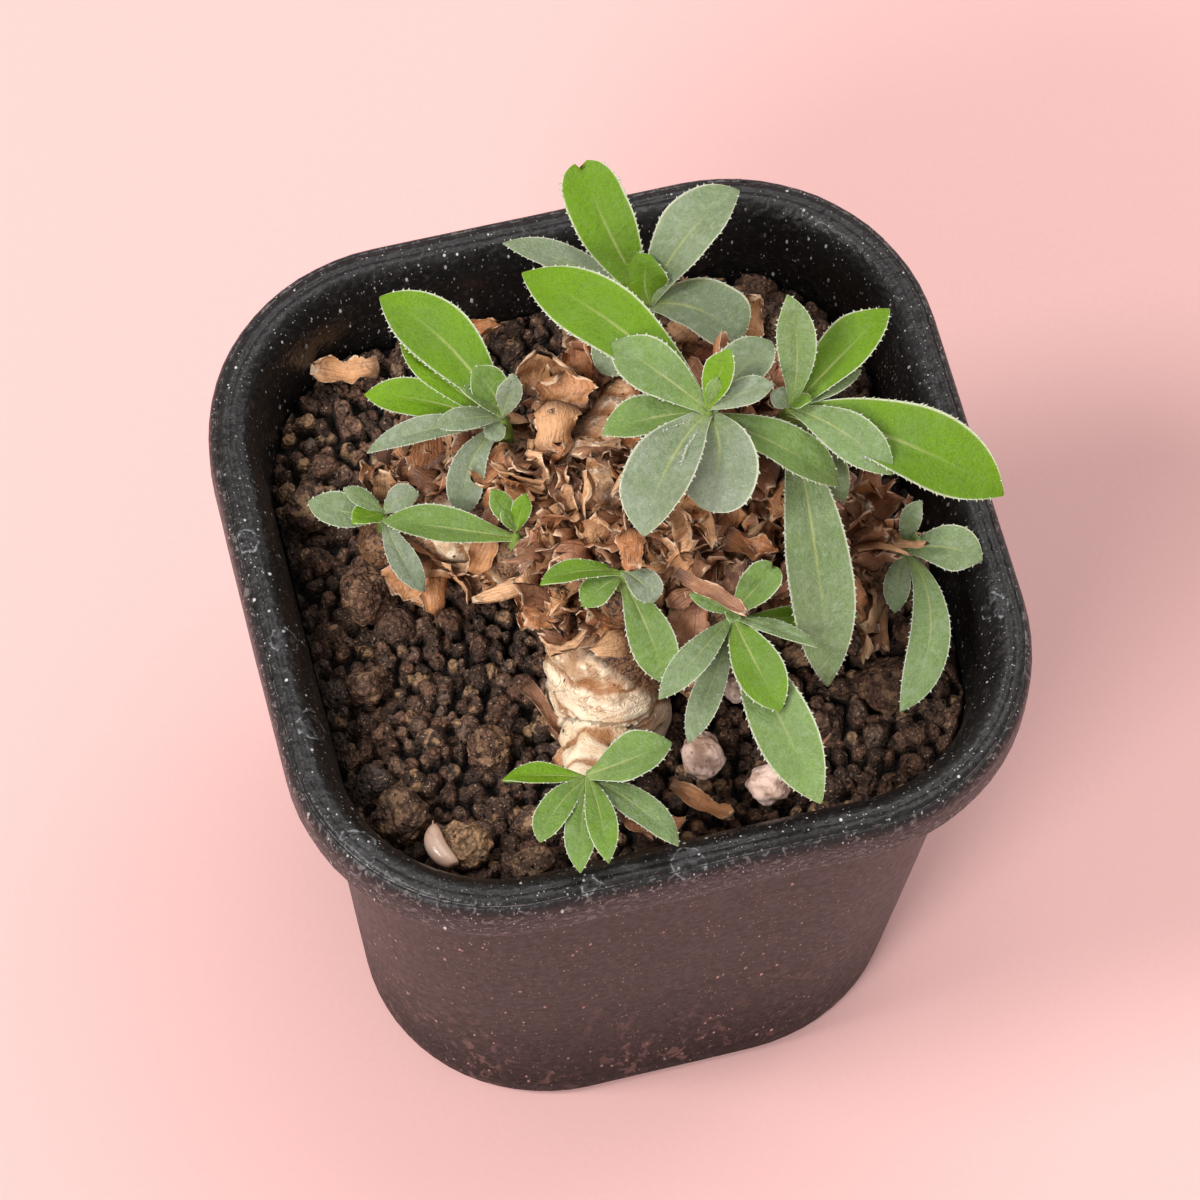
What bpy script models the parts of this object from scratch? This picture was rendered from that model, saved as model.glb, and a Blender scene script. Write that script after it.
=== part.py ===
"""A potted othonna: a knobbly caudex with rosettes of toothed leaves, in a square pot of coarse soil.

Lengths are in millimetres and angles in degrees; MM turns a finished mesh into metres.
The origin is the middle of the pot's base, +Z is up and the pot's front is toward -Y.
"""
import math
import random
from collections import namedtuple

import bmesh
import bpy
import numpy as np
from mathutils import Vector, geometry, noise
from mathutils.bvhtree import BVHTree

MM = 0.001
GAP = 0.3

# pot, measured across its flats; a half width, a corner radius and a height name each outline
POT_HEIGHT = 92.0
RIM_HALF = 45.0
RIM_CORNER = 25.5
CORNER_STEPS = 5
WALL_TOP = (38.3, 18.9, 82.0)
WALL_FOOT = (33.3, 21.7, 3.6)
FLOOR_TOP = 2.2
DRAIN_RADIUS = 4.0
DRAIN_OFFSET = 17.0

# soil
SOIL_TOP = 79.6
GRAIN_PITCH = 5.8
GRAIN_ROW = 5.2
GRAIN_STRAY = 1.28
GRAIN_HEIGHT = (0.67, 1.9)
GRAIN_TILT = (-0.35, 0.25)
GRAIN_SIZE = (1.16, 1.86)
GRAIN_MARGIN = 2.6
GRAIN_HOLLOW = (0.4, 1.4)
WIDEST_HOLLOW = 9.9
SOIL_EDGE_DROP = 0.6
SOIL_CORE = 6.3
ROOT_DEPTH = 56.0
ROOT_CENTRE = (-5.0, -16.5)
ROOT_RADIUS = 7.2
ROOT_SIDES = 12

# leaves; a place along a blade is a share of its length
PATH_STEPS = 60
BLADE_EDGE = 0.6
BLADE_MIDDLE = 1.0
FOLDED_WIDTH = 6.8
FOLD = 0.14
WIDEST = 0.6
WIDENING = 0.72
TIP_FULLNESS = 2.2
LEAST_HALF = 0.35
STALK_WIDTH = 0.2
STALK_END = 0.2
TOOTHED = (0.32, 0.88)
NEAR_TIP = 0.95
TIP = 0.993
LONG_LEAF = 7.0
TOOTH = 0.34
TOOTH_PITCH = 2.8
FULL_TOOTH_WIDTH = 5.0

# leafy stems; the older a leaf, the lower it lies and the lower it starts on its stem
STEM_DEPTH = 9.2
STEM_TAPER = 0.85
STEM_SHOULDER = 2.8
STEM_TOP = 0.6
STEM_SIDES = 6
OLDEST_DROP = 3.0
YOUNGEST_RISE = 45.0
OLDEST_RISE = -15.0
HOLE_ROOM = 0.45

# dead leaves round the branches
MANTLE_OUTER = 1.7
MANTLE_INNER = 0.9
FLAKES = 96
FLAKE_LENGTH = (5.0, 7.5)
FLAKE_WIDTH = (2.6, 4.4)
FLAKE_CURL = (0.5, 1.7)
FLAKE_OUTLINE = (0.8, 1.0, 0.5)
FLAKE_LEAN = 0.5
FLAKE_ROOT = 1.0
FLAKE_CLEARANCE = 0.45
FLAKE_THICKNESS = 0.65

Leaf = namedtuple("Leaf", "heading length width rise tip sweep")
Rosette = namedtuple("Rosette", "crown stem leaves")

# each rosette: its crown, its stem's radius and its leaves, read off the plant from above
ROSETTES = {
    "leaves_crown": Rosette((10, -1, 121), 1.8, (
        Leaf(118, 28.5, 8.6, 15, -15, 15),
        Leaf(133, 14.0, 6.4, 25, -10, -5),
        Leaf(170, 12.5, 5.6, 10, -15, 15),
        Leaf(218, 17.5, 8.6, 15, -20, 25),
        Leaf(285, 12.0, 9.0, 10, -35, -70),
        Leaf(329, 17.5, 6.6, -5, -30, -10),
        Leaf(353, 8.5, 3.6, 40, 10, 5),
        Leaf(43, 8.0, 4.0, 60, 45, 5),
        Leaf(45, 4.5, 1.8, 65, 60, 0),
        Leaf(40, 11.5, 6.0, 15, 0, -10))),
    "leaves_right": Rosette((20, -1, 117), 1.8, (
        Leaf(56, 14.5, 4.6, 60, 50, 50),
        Leaf(27, 16.5, 6.2, 25, 5, 5),
        Leaf(327, 27.0, 9.4, 15, -25, -5),
        Leaf(315, 15.0, 5.6, 25, -15, -15),
        Leaf(268, 32.5, 8.2, -10, -50, -5),
        Leaf(14, 9.5, 3.2, 20, 0, 0),
        Leaf(327, 3.5, 2.2, 55, 40, 0),
        Leaf(293, 12.0, 4.6, -10, -40, 0),
        Leaf(145, 3.0, 2.6, 40, 20, 0))),
    "leaves_back": Rosette((8.5, 19.5, 110), 1.6, (
        Leaf(118, 19.5, 7.2, 40, 15, -25),
        Leaf(48, 17.5, 7.8, 40, 10, -30),
        Leaf(134, 19.0, 4.2, 15, 5, 20),
        Leaf(107, 6.0, 6.0, 50, 35, -70),
        Leaf(347, 12.5, 8.4, 25, -35, -45),
        Leaf(220, 9.5, 5.6, 5, -40, -5))),
    "leaves_back_left": Rosette((-11.5, 10, 108), 1.7, (
        Leaf(105, 21.5, 7.8, 20, -5, 30),
        Leaf(141, 15.5, 4.2, 20, -5, -25),
        Leaf(141, 18.0, 4.8, 0, -25, 10),
        Leaf(166, 16.5, 3.6, 5, -20, 20),
        Leaf(180, 8.5, 3.0, 35, -10, 0),
        Leaf(98, 7.0, 4.6, 45, 30, 35),
        Leaf(33, 6.5, 3.0, 70, 55, 35),
        Leaf(226, 3.0, 2.6, 20, -30, 0),
        Leaf(197, 12.5, 4.4, -10, -50, 70),
        Leaf(146, 6.5, 2.6, 45, 25, 0))),
    "leaves_middle_left": Rosette((-13, -3, 104), 1.3, (
        Leaf(159, 16.0, 5.0, 5, -10, -5),
        Leaf(114, 6.0, 2.8, 45, 30, 0),
        Leaf(56, 5.0, 2.4, 55, 40, 0),
        Leaf(124, 3.5, 1.8, 50, 40, 0))),
    "leaves_left": Rosette((-26.5, 7.5, 95), 1.3, (
        Leaf(176, 9.5, 4.4, 20, 0, -35),
        Leaf(145, 6.0, 2.2, 40, 20, 0),
        Leaf(199, 5.0, 3.6, 35, 20, 0),
        Leaf(270, 10.5, 3.4, 10, -30, 30),
        Leaf(28, 5.5, 3.4, 40, 30, -60))),
    "leaves_middle_front": Rosette((-3, -13.5, 110), 1.3, (
        Leaf(163, 10.0, 3.4, 20, -5, 30),
        Leaf(195, 6.0, 3.8, 10, -20, 20),
        Leaf(319, 5.5, 3.8, 25, -20, -40),
        Leaf(284, 13.5, 5.4, -5, -40, -5))),
    "leaves_front": Rosette((8.5, -20, 106), 1.6, (
        Leaf(23, 8.0, 4.2, 40, 25, 10),
        Leaf(320, 11.0, 2.6, 20, 0, 0),
        Leaf(355, 15.5, 3.0, -5, -20, 0),
        Leaf(221, 14.5, 3.8, 20, -5, -5),
        Leaf(239, 15.0, 3.6, -10, -35, -10),
        Leaf(276, 13.0, 5.8, 15, -20, 10),
        Leaf(279, 24.0, 7.2, 0, -20, 5),
        Leaf(152, 6.0, 2.2, 35, 20, 0),
        Leaf(247, 3.5, 1.8, 50, 40, 0))),
    "leaves_low_right": Rosette((32.5, -11.5, 94.5), 1.2, (
        Leaf(90, 6.5, 2.6, 55, 40, -70),
        Leaf(353, 9.5, 5.6, 25, -5, -40),
        Leaf(287, 21.5, 5.0, 15, -30, -70),
        Leaf(233, 8.0, 3.2, 15, -25, 25),
        Leaf(351, 2.5, 2.2, 60, 50, 0))),
    "leaves_low_front": Rosette((-11.5, -31.5, 96), 1.1, (
        Leaf(164, 10.0, 3.4, 15, -5, 10),
        Leaf(350, 11.0, 6.6, 35, 10, 20),
        Leaf(208, 10.5, 3.8, 20, -5, 30),
        Leaf(247, 12.5, 3.8, 20, -10, 10),
        Leaf(272, 13.0, 3.6, 30, 0, -10),
        Leaf(313, 14.0, 4.6, 20, -10, -15))),
}

# the caudex: runs of (x, y, z, radius) from the trunk to the end of each branch
TRUNK = ((-5, -16.5, 86, 7.0), (-4.5, -14, 90, 7.6), (-3, -9, 94, 8.2), (0, -2, 98, 9.0), (2, 4, 98, 8.5))
BRANCHES = {
    "crown": ((3, 1, 101, 6.5), (8, -0.5, 108, 4.8), (10, -1, 113.5, 2.9)),
    "right": ((8, 0, 100, 6.5), (15, 0, 103.5, 5.2), (20, -1, 108.5, 2.9)),
    "back": ((4, 6, 99, 6.5), (7, 13, 100, 5.0), (8.5, 19.5, 102.5, 2.8)),
    "back_left": ((-4, 4, 98, 6.5), (-9, 8, 97.5, 5.2), (-11.5, 10, 99.5, 3.0)),
    "left": ((-8, 4, 95, 6.0), (-16, 6.5, 91.5, 5.4), (-22, 7.5, 88.5, 4.1), (-26.5, 7.5, 87.5, 2.6)),
    "middle_left": ((-6, -1, 97, 6.0), (-13, -3, 97, 3.0)),
    "middle_front": ((-2, -8, 97, 6.0), (-3, -13.5, 102.5, 2.8)),
    "front": ((3, -8, 97, 6.5), (6, -15, 98, 4.6), (8.5, -20, 98.5, 2.8)),
    "low_right": ((10, -2, 98, 6.0), (18, -5, 95, 5.2), (26, -8.5, 90, 4.0), (32.5, -11.5, 88, 2.5)),
    "low_front": ((-7, -21, 84.5, 4.6), (-9.5, -27, 86.5, 3.2), (-11.5, -31.5, 89, 2.3)),
}
BARE_BRANCHES = ("low_front",)

# past each end of a limb: how far its rounding reaches and how wide it still is, in radii
LIMB_START = (0.85, 0.5)
LIMB_ENDS = ((0.6, 0.8), (0.95, 0.3))
TRUNK_SIDES = 14
BRANCH_SIDES = 12
TUBE_SIDES = 10
CAUDEX_VOXEL = 0.9
TUBE_VOXEL = 1.0
CAUDEX_TRIANGLES = 600
TUBE_TRIANGLES = 560
KNOB = 1.0
KNOB_PITCH = (0.28, 0.28, 0.45)
KNOBS_FROM = 83.6
BARE_FRONT = -13.0
BARE_TOP = 93.0
WRAPPED_SINK = 0.2
ROOT_NECK = 84.6

# stones and other loose things on the soil: where each lies and its size across
STONE_SQUEEZE = ((0.95, 1.2), (0.8, 1.0), (0.68, 0.85))
STONE_KNOCK = (0.88, 1.10)
LAVA_LIFT = 0.12
DROP_HEIGHT = 12.0
PUMICE = (((3.7, -27.1), 6.4), ((10.3, -32.5), 6.2), ((10.4, -19.3), 4.2))
LAVA = (((-30.5, -22.5), 8.2), ((-33.0, -7.5), 7.4), ((-29.5, 1.5), 7.0), ((-25.5, -30.2), 6.6),
        ((-21.0, -34.0), 6.4), ((28.5, -22.5), 7.6), ((33.5, -17.0), 6.2), ((-33.5, 17.0), 6.4),
        ((-20.0, -19.0), 6.0), ((-14.5, 33.5), 6.6), ((24.0, 30.5), 6.4), ((33.0, 8.0), 6.0))
HUSK_PLACE = (-30.6, -28.4)
HUSK_HALVES = (4.2, 1.7, 1.4)
HUSK_TURN = 115.0
FALLEN_BEND = (14, -22, 25)
FALLEN_LEAVES = {
    "dry_leaf_left": ((-25.5, 33.0), 12.0, 5.2, 160),
    "dry_leaf_back": ((-9.0, 33.5), 8.0, 4.0, 15),
    "dry_leaf_front": ((2.0, -33.0), 8.0, 3.4, 318),
}

COLOURS = {
    "pot": ((0.016, 0.015, 0.015), 0.45),
    "soil": ((0.060, 0.040, 0.030), 0.95),
    "caudex": ((0.58, 0.42, 0.26), 0.75),
    "dead": ((0.30, 0.16, 0.085), 0.80),
    "young": ((0.13, 0.27, 0.045), 0.55),
    "old": ((0.19, 0.28, 0.17), 0.65),
    "pumice": ((0.70, 0.55, 0.48), 0.90),
    "husk": ((0.62, 0.48, 0.32), 0.70),
}
YOUNG_ROSETTES = ("leaves_back_left", "leaves_low_front", "leaves_back")


def clear_scene():
    """Removes every object, so the plant stands alone."""
    for item in list(bpy.data.objects):
        bpy.data.objects.remove(item, do_unlink=True)


def material(kind):
    """A plain Principled material for one kind of stuff, made once."""
    found = bpy.data.materials.get(kind)
    if found:
        return found
    colour, roughness = COLOURS[kind]
    made = bpy.data.materials.new(kind)
    made.use_nodes = True
    shader = made.node_tree.nodes["Principled BSDF"]
    shader.inputs["Base Color"].default_value = (*colour, 1.0)
    shader.inputs["Roughness"].default_value = roughness
    shader.inputs["Metallic"].default_value = 0.0
    return made


def add_object(name, verts, faces, kind):
    """Makes a mesh object from points in millimetres, with its faces turned outward."""
    mesh = bpy.data.meshes.new(name)
    mesh.from_pydata([tuple(c * MM for c in v) for v in verts], [], faces)
    shell = bmesh.new()
    shell.from_mesh(mesh)
    bmesh.ops.recalc_face_normals(shell, faces=shell.faces)
    shell.to_mesh(mesh)
    shell.free()
    mesh.materials.append(material(kind))
    item = bpy.data.objects.new(name, mesh)
    bpy.context.scene.collection.objects.link(item)
    return item


def smooth(item, angle):
    """Shades an object smooth, with an edge kept where two faces meet at more than the angle."""
    item.data.shade_smooth()
    item.data.set_sharp_from_angle(angle=math.radians(angle))


def apply_modifiers(item):
    """Turns an object's modifiers into its mesh."""
    bpy.context.view_layer.update()
    graph = bpy.context.evaluated_depsgraph_get()
    mesh = bpy.data.meshes.new_from_object(item.evaluated_get(graph))
    item.modifiers.clear()
    item.data = mesh


def combine(item, others, operation):
    """Joins to, or cuts from, an object all the others, and removes them."""
    group = bpy.data.collections.new("pieces")
    bpy.context.scene.collection.children.link(group)
    for other in others:
        bpy.context.scene.collection.objects.unlink(other)
        group.objects.link(other)
    change = item.modifiers.new("combine", "BOOLEAN")
    change.operation = operation
    change.operand_type = "COLLECTION"
    change.collection = group
    change.solver = "MANIFOLD"
    apply_modifiers(item)
    for other in list(group.objects):
        bpy.data.objects.remove(other, do_unlink=True)
    bpy.data.collections.remove(group)
    keep_main_body(item)


def even_out(item, size):
    """Gives an object an even skin of small faces, which also rounds where its branches meet."""
    even = item.modifiers.new("even", "REMESH")
    even.mode = "VOXEL"
    even.voxel_size = size * MM
    apply_modifiers(item)


def thin_out(item, triangles, kind):
    """Leaves an object about this many triangles, all of one material."""
    thin = item.modifiers.new("thin", "DECIMATE")
    thin.ratio = triangles / (2 * len(item.data.polygons))
    apply_modifiers(item)
    item.data.materials.clear()
    item.data.materials.append(material(kind))
    keep_main_body(item)


def keep_main_body(item):
    """Drops loose scraps and fills sealed hollows: only the largest connected skin stays."""
    skin = bmesh.new()
    skin.from_mesh(item.data)
    unseen = set(skin.faces)
    islands = []
    while unseen:
        island = [unseen.pop()]
        for face in island:
            for edge in face.edges:
                for other in edge.link_faces:
                    if other in unseen:
                        unseen.discard(other)
                        island.append(other)
        islands.append(island)
    islands.sort(key=len)
    for island in islands[:-1]:
        bmesh.ops.delete(skin, geom=island, context="FACES")
    bmesh.ops.triangulate(skin, faces=skin.faces)
    skin.to_mesh(item.data)
    skin.free()


def tree_of(items):
    """A search tree over the triangles of several objects, in millimetres."""
    points = []
    faces = []
    for item in items:
        start = len(points)
        points += [v.co / MM for v in item.data.vertices]
        faces += [[start + i for i in p.vertices] for p in item.data.polygons]
    return BVHTree.FromPolygons(points, faces, all_triangles=False)


def rounded_square(half, corner, height):
    """One outline of the pot: a square with rounded corners, as points from the right round to the back."""
    points = []
    for quarter in range(4):
        turn = math.radians(90 * quarter)
        centre = Vector((half - corner, half - corner))
        for step in range(CORNER_STEPS + 1):
            angle = math.radians(90 * step / CORNER_STEPS)
            local = centre + corner * Vector((math.cos(angle), math.sin(angle)))
            x = local.x * math.cos(turn) - local.y * math.sin(turn)
            y = local.x * math.sin(turn) + local.y * math.cos(turn)
            points.append((x, y, height))
    return points


def loft(rings, name, kind):
    """A closed solid through rings of equal count, with a flat cap on the first and on the last."""
    count = len(rings[0])
    verts = [p for ring in rings for p in ring]
    faces = []
    for row in range(len(rings) - 1):
        for i in range(count):
            j = (i + 1) % count
            low, high = row * count, (row + 1) * count
            faces.append((low + i, low + j, high + j, high + i))
    faces.append(tuple(range(count))[::-1])
    faces.append(tuple(range((len(rings) - 1) * count, len(rings) * count)))
    return add_object(name, verts, faces, kind)


def disc(centre, radius, sides):
    """A level ring of points round a centre."""
    x, y, z = centre
    turns = [2 * math.pi * i / sides for i in range(sides)]
    return [(x + radius * math.cos(a), y + radius * math.sin(a), z) for a in turns]


def wall_at(height):
    """The half width and the corner radius of the pot's inner wall at a height."""
    share = (height - WALL_FOOT[2]) / (WALL_TOP[2] - WALL_FOOT[2])
    half = WALL_FOOT[0] + share * (WALL_TOP[0] - WALL_FOOT[0])
    corner = WALL_FOOT[1] + share * (WALL_TOP[1] - WALL_FOOT[1])
    return half, corner


def make_pot():
    """The pot: a tapering wall, a folded rim with a skirt, a shoulder inside it, a foot and drain holes."""
    outlines = (
        (31.0, 21.0, 1.2),
        (31.6, 21.4, 0.0),
        (34.2, 23.2, 0.0),
        (35.5, 24.0, 1.6),
        (40.2, 20.9, 84.6),
        (40.6, 21.2, 89.2),
        (43.2, 23.8, 89.2),
        (43.5, 24.1, 85.0),
        (44.4, 24.9, 84.8),
        (RIM_HALF, RIM_CORNER, 85.6),
        (RIM_HALF, RIM_CORNER, 89.8),
        (44.5, 25.0, 91.2),
        (43.5, 24.0, POT_HEIGHT),
        (41.9, 22.4, POT_HEIGHT),
        (40.5, 21.0, 91.1),
        (39.5, 20.0, 89.3),
        (38.8, 19.4, 86.5),
        WALL_TOP,
        WALL_FOOT,
        (32.0, 20.6, FLOOR_TOP),
    )
    pot = loft([rounded_square(*outline) for outline in outlines], "pot", "pot")
    sides = (-DRAIN_OFFSET, DRAIN_OFFSET)
    places = [(0, 0)] + [(x, y) for x in sides for y in sides]
    drills = []
    for i, (x, y) in enumerate(places):
        rings = [disc((x, y, z), DRAIN_RADIUS, 12) for z in (-1.0, FLOOR_TOP + 1.0)]
        drills.append(loft(rings, f"drill_{i}", "pot"))
    combine(pot, drills, "DIFFERENCE")
    smooth(pot, 40)
    return pot


def grain_centres(inside, draw):
    """Places of the soil's grains: a hexagonal lay, each grain moved a little by chance."""
    places = []
    reach = int(RIM_HALF / GRAIN_PITCH) + 2
    for row in range(-reach, reach + 1):
        for column in range(-reach, reach + 1):
            x = (column + (row % 2) / 2) * GRAIN_PITCH + draw.uniform(-GRAIN_STRAY, GRAIN_STRAY)
            y = row * GRAIN_ROW + draw.uniform(-GRAIN_STRAY, GRAIN_STRAY)
            if inside(x, y):
                places.append((x, y))
    return places


def in_rounded_square(x, y, half, corner):
    """Whether a point lies inside a rounded square."""
    dx = max(abs(x) - (half - corner), 0.0)
    dy = max(abs(y) - (half - corner), 0.0)
    return max(abs(x), abs(y)) < half and math.hypot(dx, dy) < corner


def make_soil():
    """The soil: a block that fills the pot, its top a bed of grains, with a plain hole for the root."""
    draw = random.Random(11)
    half, corner = (value - GAP for value in wall_at(SOIL_TOP))
    hole = ROOT_RADIUS + GAP

    def inside(x, y):
        clear = math.hypot(x - ROOT_CENTRE[0], y - ROOT_CENTRE[1]) > hole + GRAIN_MARGIN
        return clear and in_rounded_square(x, y, half - GRAIN_MARGIN, corner - GRAIN_MARGIN)

    centres = grain_centres(inside, draw)
    grains = [Vector(p) for p in centres]
    triangles = geometry.delaunay_2d_cdt(grains, [], [], 0, 0.001)[2]
    top = []
    for x, y in centres:
        swell = SOIL_TOP + draw.uniform(*GRAIN_HEIGHT)
        size = draw.uniform(*GRAIN_SIZE)
        turn = draw.uniform(0, math.tau)
        for corner_index in range(3):
            angle = turn + math.tau * corner_index / 3
            z = swell + draw.uniform(*GRAIN_TILT)
            top.append((x + size * math.cos(angle), y + size * math.sin(angle), z))
    for triangle in triangles:
        points = [grains[i] for i in triangle]
        longest = max((points[i] - points[i - 1]).length for i in range(3))
        middle = sum(points, Vector((0, 0))) / 3
        if longest < WIDEST_HOLLOW and inside(middle.x, middle.y):
            top.append((middle.x, middle.y, SOIL_TOP - draw.uniform(*GRAIN_HOLLOW)))
    rim = rounded_square(half, corner, SOIL_TOP - SOIL_EDGE_DROP)
    ring = disc((*ROOT_CENTRE, SOIL_TOP - GAP), hole, ROOT_SIDES)
    points = rim + ring + top
    count = len(rim)
    edges = [(i, (i + 1) % count) for i in range(count)]
    edges += [(count + i, count + (i + 1) % ROOT_SIDES) for i in range(ROOT_SIDES)]
    flat = [Vector(p[:2]) for p in points]
    result = geometry.delaunay_2d_cdt(flat, edges, [], 0, 0.0001)
    if len(result[0]) != len(points):
        raise ValueError("two points of the soil's top fell together")
    order = [sources[0] for sources in result[3]]
    faces = []
    for triangle in result[2]:
        corners = [order[i] for i in triangle]
        middle = sum((flat[i] for i in corners), Vector((0, 0))) / 3
        from_root = math.hypot(middle.x - ROOT_CENTRE[0], middle.y - ROOT_CENTRE[1])
        in_hole = all(count <= i < count + ROOT_SIDES for i in corners) and from_root < hole
        if not in_hole and in_rounded_square(middle.x, middle.y, half, corner):
            faces.append(tuple(corners))
    foot_half, foot_corner = (value - GAP for value in wall_at(WALL_FOOT[2]))
    lower = rounded_square(foot_half, foot_corner, WALL_FOOT[2] + GAP)
    sole = rounded_square(foot_half - 1.3, foot_corner - 1.1, FLOOR_TOP + GAP)
    pit = disc((*ROOT_CENTRE, ROOT_DEPTH - GAP), SOIL_CORE, ROOT_SIDES)
    base = len(points)
    points = points + lower + sole + pit
    for i in range(count):
        j = (i + 1) % count
        faces.append((j, i, base + i, base + j))
        faces.append((base + j, base + i, base + count + i, base + count + j))
    faces.append(tuple(base + count + i for i in range(count)))
    well = base + 2 * count
    for i in range(ROOT_SIDES):
        j = (i + 1) % ROOT_SIDES
        faces.append((count + i, count + j, well + j, well + i))
    faces.append(tuple(well + i for i in range(ROOT_SIDES)))
    soil = add_object("soil", points, faces, "soil")
    stones = [stone(f"lava_{i}", place, SOIL_TOP + LAVA_LIFT * size, size, 30 + i, "soil")
              for i, (place, size) in enumerate(LAVA)]
    combine(soil, stones, "UNION")
    smooth(soil, 25)
    return soil


def stone(name, place, height, size, seed, kind):
    """A worn stone: a low ball, squeezed and knocked in by chance."""
    draw = random.Random(seed)
    ball = bmesh.new()
    bmesh.ops.create_icosphere(ball, subdivisions=1, radius=size / 2)
    squeeze = [draw.uniform(*bounds) for bounds in STONE_SQUEEZE]
    turn = draw.uniform(0, math.tau)
    verts = []
    for vert in ball.verts:
        knock = draw.uniform(*STONE_KNOCK)
        x, y, z = (c * s * knock for c, s in zip(vert.co, squeeze))
        spun_x = x * math.cos(turn) - y * math.sin(turn)
        spun_y = x * math.sin(turn) + y * math.cos(turn)
        verts.append((place[0] + spun_x, place[1] + spun_y, height + z))
    faces = [[v.index for v in face.verts] for face in ball.faces]
    ball.free()
    return add_object(name, verts, faces, kind)


def path_of(root, leaf, shares):
    """Points along a leaf's midrib and its direction at each: the pitch eases from rise to tip."""
    points = [Vector(root)]
    directions = []
    for i in range(PATH_STEPS):
        share = (i + 0.5) / PATH_STEPS
        pitch = math.radians(leaf.rise + (leaf.tip - leaf.rise) * share)
        heading = math.radians(leaf.heading + leaf.sweep * share)
        level = math.cos(pitch)
        step = Vector((level * math.cos(heading), level * math.sin(heading), math.sin(pitch)))
        directions.append(step)
        points.append(points[-1] + step * leaf.length / PATH_STEPS)
    directions.append(directions[-1])
    picks = [round(share * PATH_STEPS) for share in shares]
    return [points[i] for i in picks], [directions[i] for i in picks]


def blade_half(share, width):
    """Half the blade's width: a narrow stalk that widens to the widest place, then a pointed tip."""
    if share < WIDEST:
        rise = share / WIDEST
        eased = (3 * rise ** 2 - 2 * rise ** 3) ** WIDENING
        return width / 2 * (STALK_WIDTH + (1 - STALK_WIDTH) * eased)
    fall = (1 - share) / (1 - WIDEST)
    return width / 2 * (1 - (1 - fall) ** TIP_FULLNESS)


def blade_rings(leaf):
    """Where a leaf's cross sections lie, and which of them end in a tooth."""
    first, last = TOOTHED
    teeth = max(1, round((last - first) * leaf.length / TOOTH_PITCH))
    shares = [(0.0, False), (STALK_END, False)]
    for i in range(2 * teeth + 1):
        shares.append((first + (last - first) * i / (2 * teeth), i % 2 == 1))
    if leaf.length > LONG_LEAF:
        shares.append((NEAR_TIP, False))
    shares.append((TIP, False))
    return shares


def leaf_mesh(name, crown, leaf, kind):
    """One leaf: a blade with toothed margins, folded a little along its midrib."""
    age = min(max((YOUNGEST_RISE - leaf.rise) / (YOUNGEST_RISE - OLDEST_RISE), 0), 1)
    root = Vector(crown) - Vector((0, 0, OLDEST_DROP * age))
    shares = blade_rings(leaf)
    points, directions = path_of(root, leaf, [share for share, _ in shares])
    folded = leaf.width > FOLDED_WIDTH
    rings = []
    for (share, tooth), point, along in zip(shares, points, directions):
        side = along.cross(Vector((0, 0, 1))).normalized()
        up = side.cross(along).normalized()
        half = max(blade_half(share, leaf.width), LEAST_HALF)
        if tooth:
            half += TOOTH * min(1, leaf.width / FULL_TOOTH_WIDTH)
        lift = FOLD * half if folded else 0
        edge = BLADE_EDGE / 2
        section = [point - side * half + up * (lift + edge), point + side * half + up * (lift + edge),
                   point + side * half + up * (lift - edge), point - side * half + up * (lift - edge)]
        if folded:
            middle = BLADE_MIDDLE / 2
            section.insert(1, point + up * (middle - FOLD))
            section.insert(4, point - up * middle)
        rings.append(section)
    return loft(rings, name, kind)


def make_rosette(name, rosette):
    """A leafy stem: a short stem with its leaves grown from it, as one body."""
    kind = "young" if name in YOUNG_ROSETTES else "old"
    x, y, z = rosette.crown
    radius = rosette.stem
    rings = [disc((x, y, z - STEM_DEPTH), radius * STEM_TAPER, STEM_SIDES),
             disc((x, y, z - STEM_SHOULDER), radius, STEM_SIDES),
             disc((x, y, z + STEM_TOP), radius / 2, STEM_SIDES)]
    stem = loft(rings, name, kind)
    blades = [leaf_mesh(f"{name}_{i}", rosette.crown, leaf, kind) for i, leaf in enumerate(rosette.leaves)]
    combine(stem, blades, "UNION")
    smooth(stem, 35)
    return stem


def limb(name, run, grow, sides, kind):
    """A branch: a tube through a run of (x, y, z, radius), round at both ends."""
    centres = [Vector(p[:3]) for p in run]
    radii = [p[3] + grow for p in run]
    first = (centres[1] - centres[0]).normalized()
    last = (centres[-1] - centres[-2]).normalized()
    rows = [(centres[0] - first * radii[0] * LIMB_START[0], radii[0] * LIMB_START[1], first)]
    for i, (centre, radius) in enumerate(zip(centres, radii)):
        before = centres[max(i - 1, 0)]
        after = centres[min(i + 1, len(centres) - 1)]
        rows.append((centre, radius, (after - before).normalized()))
    rows += [(centres[-1] + last * radii[-1] * reach, radii[-1] * wide, last) for reach, wide in LIMB_ENDS]
    side = first.orthogonal()
    rings = []
    for centre, radius, along in rows:
        side = (side - along * side.dot(along)).normalized()
        other = along.cross(side)
        turns = [math.tau * k / sides for k in range(sides)]
        rings.append([centre + radius * (math.cos(a) * side + math.sin(a) * other) for a in turns])
    return loft(rings, name, kind)


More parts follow.
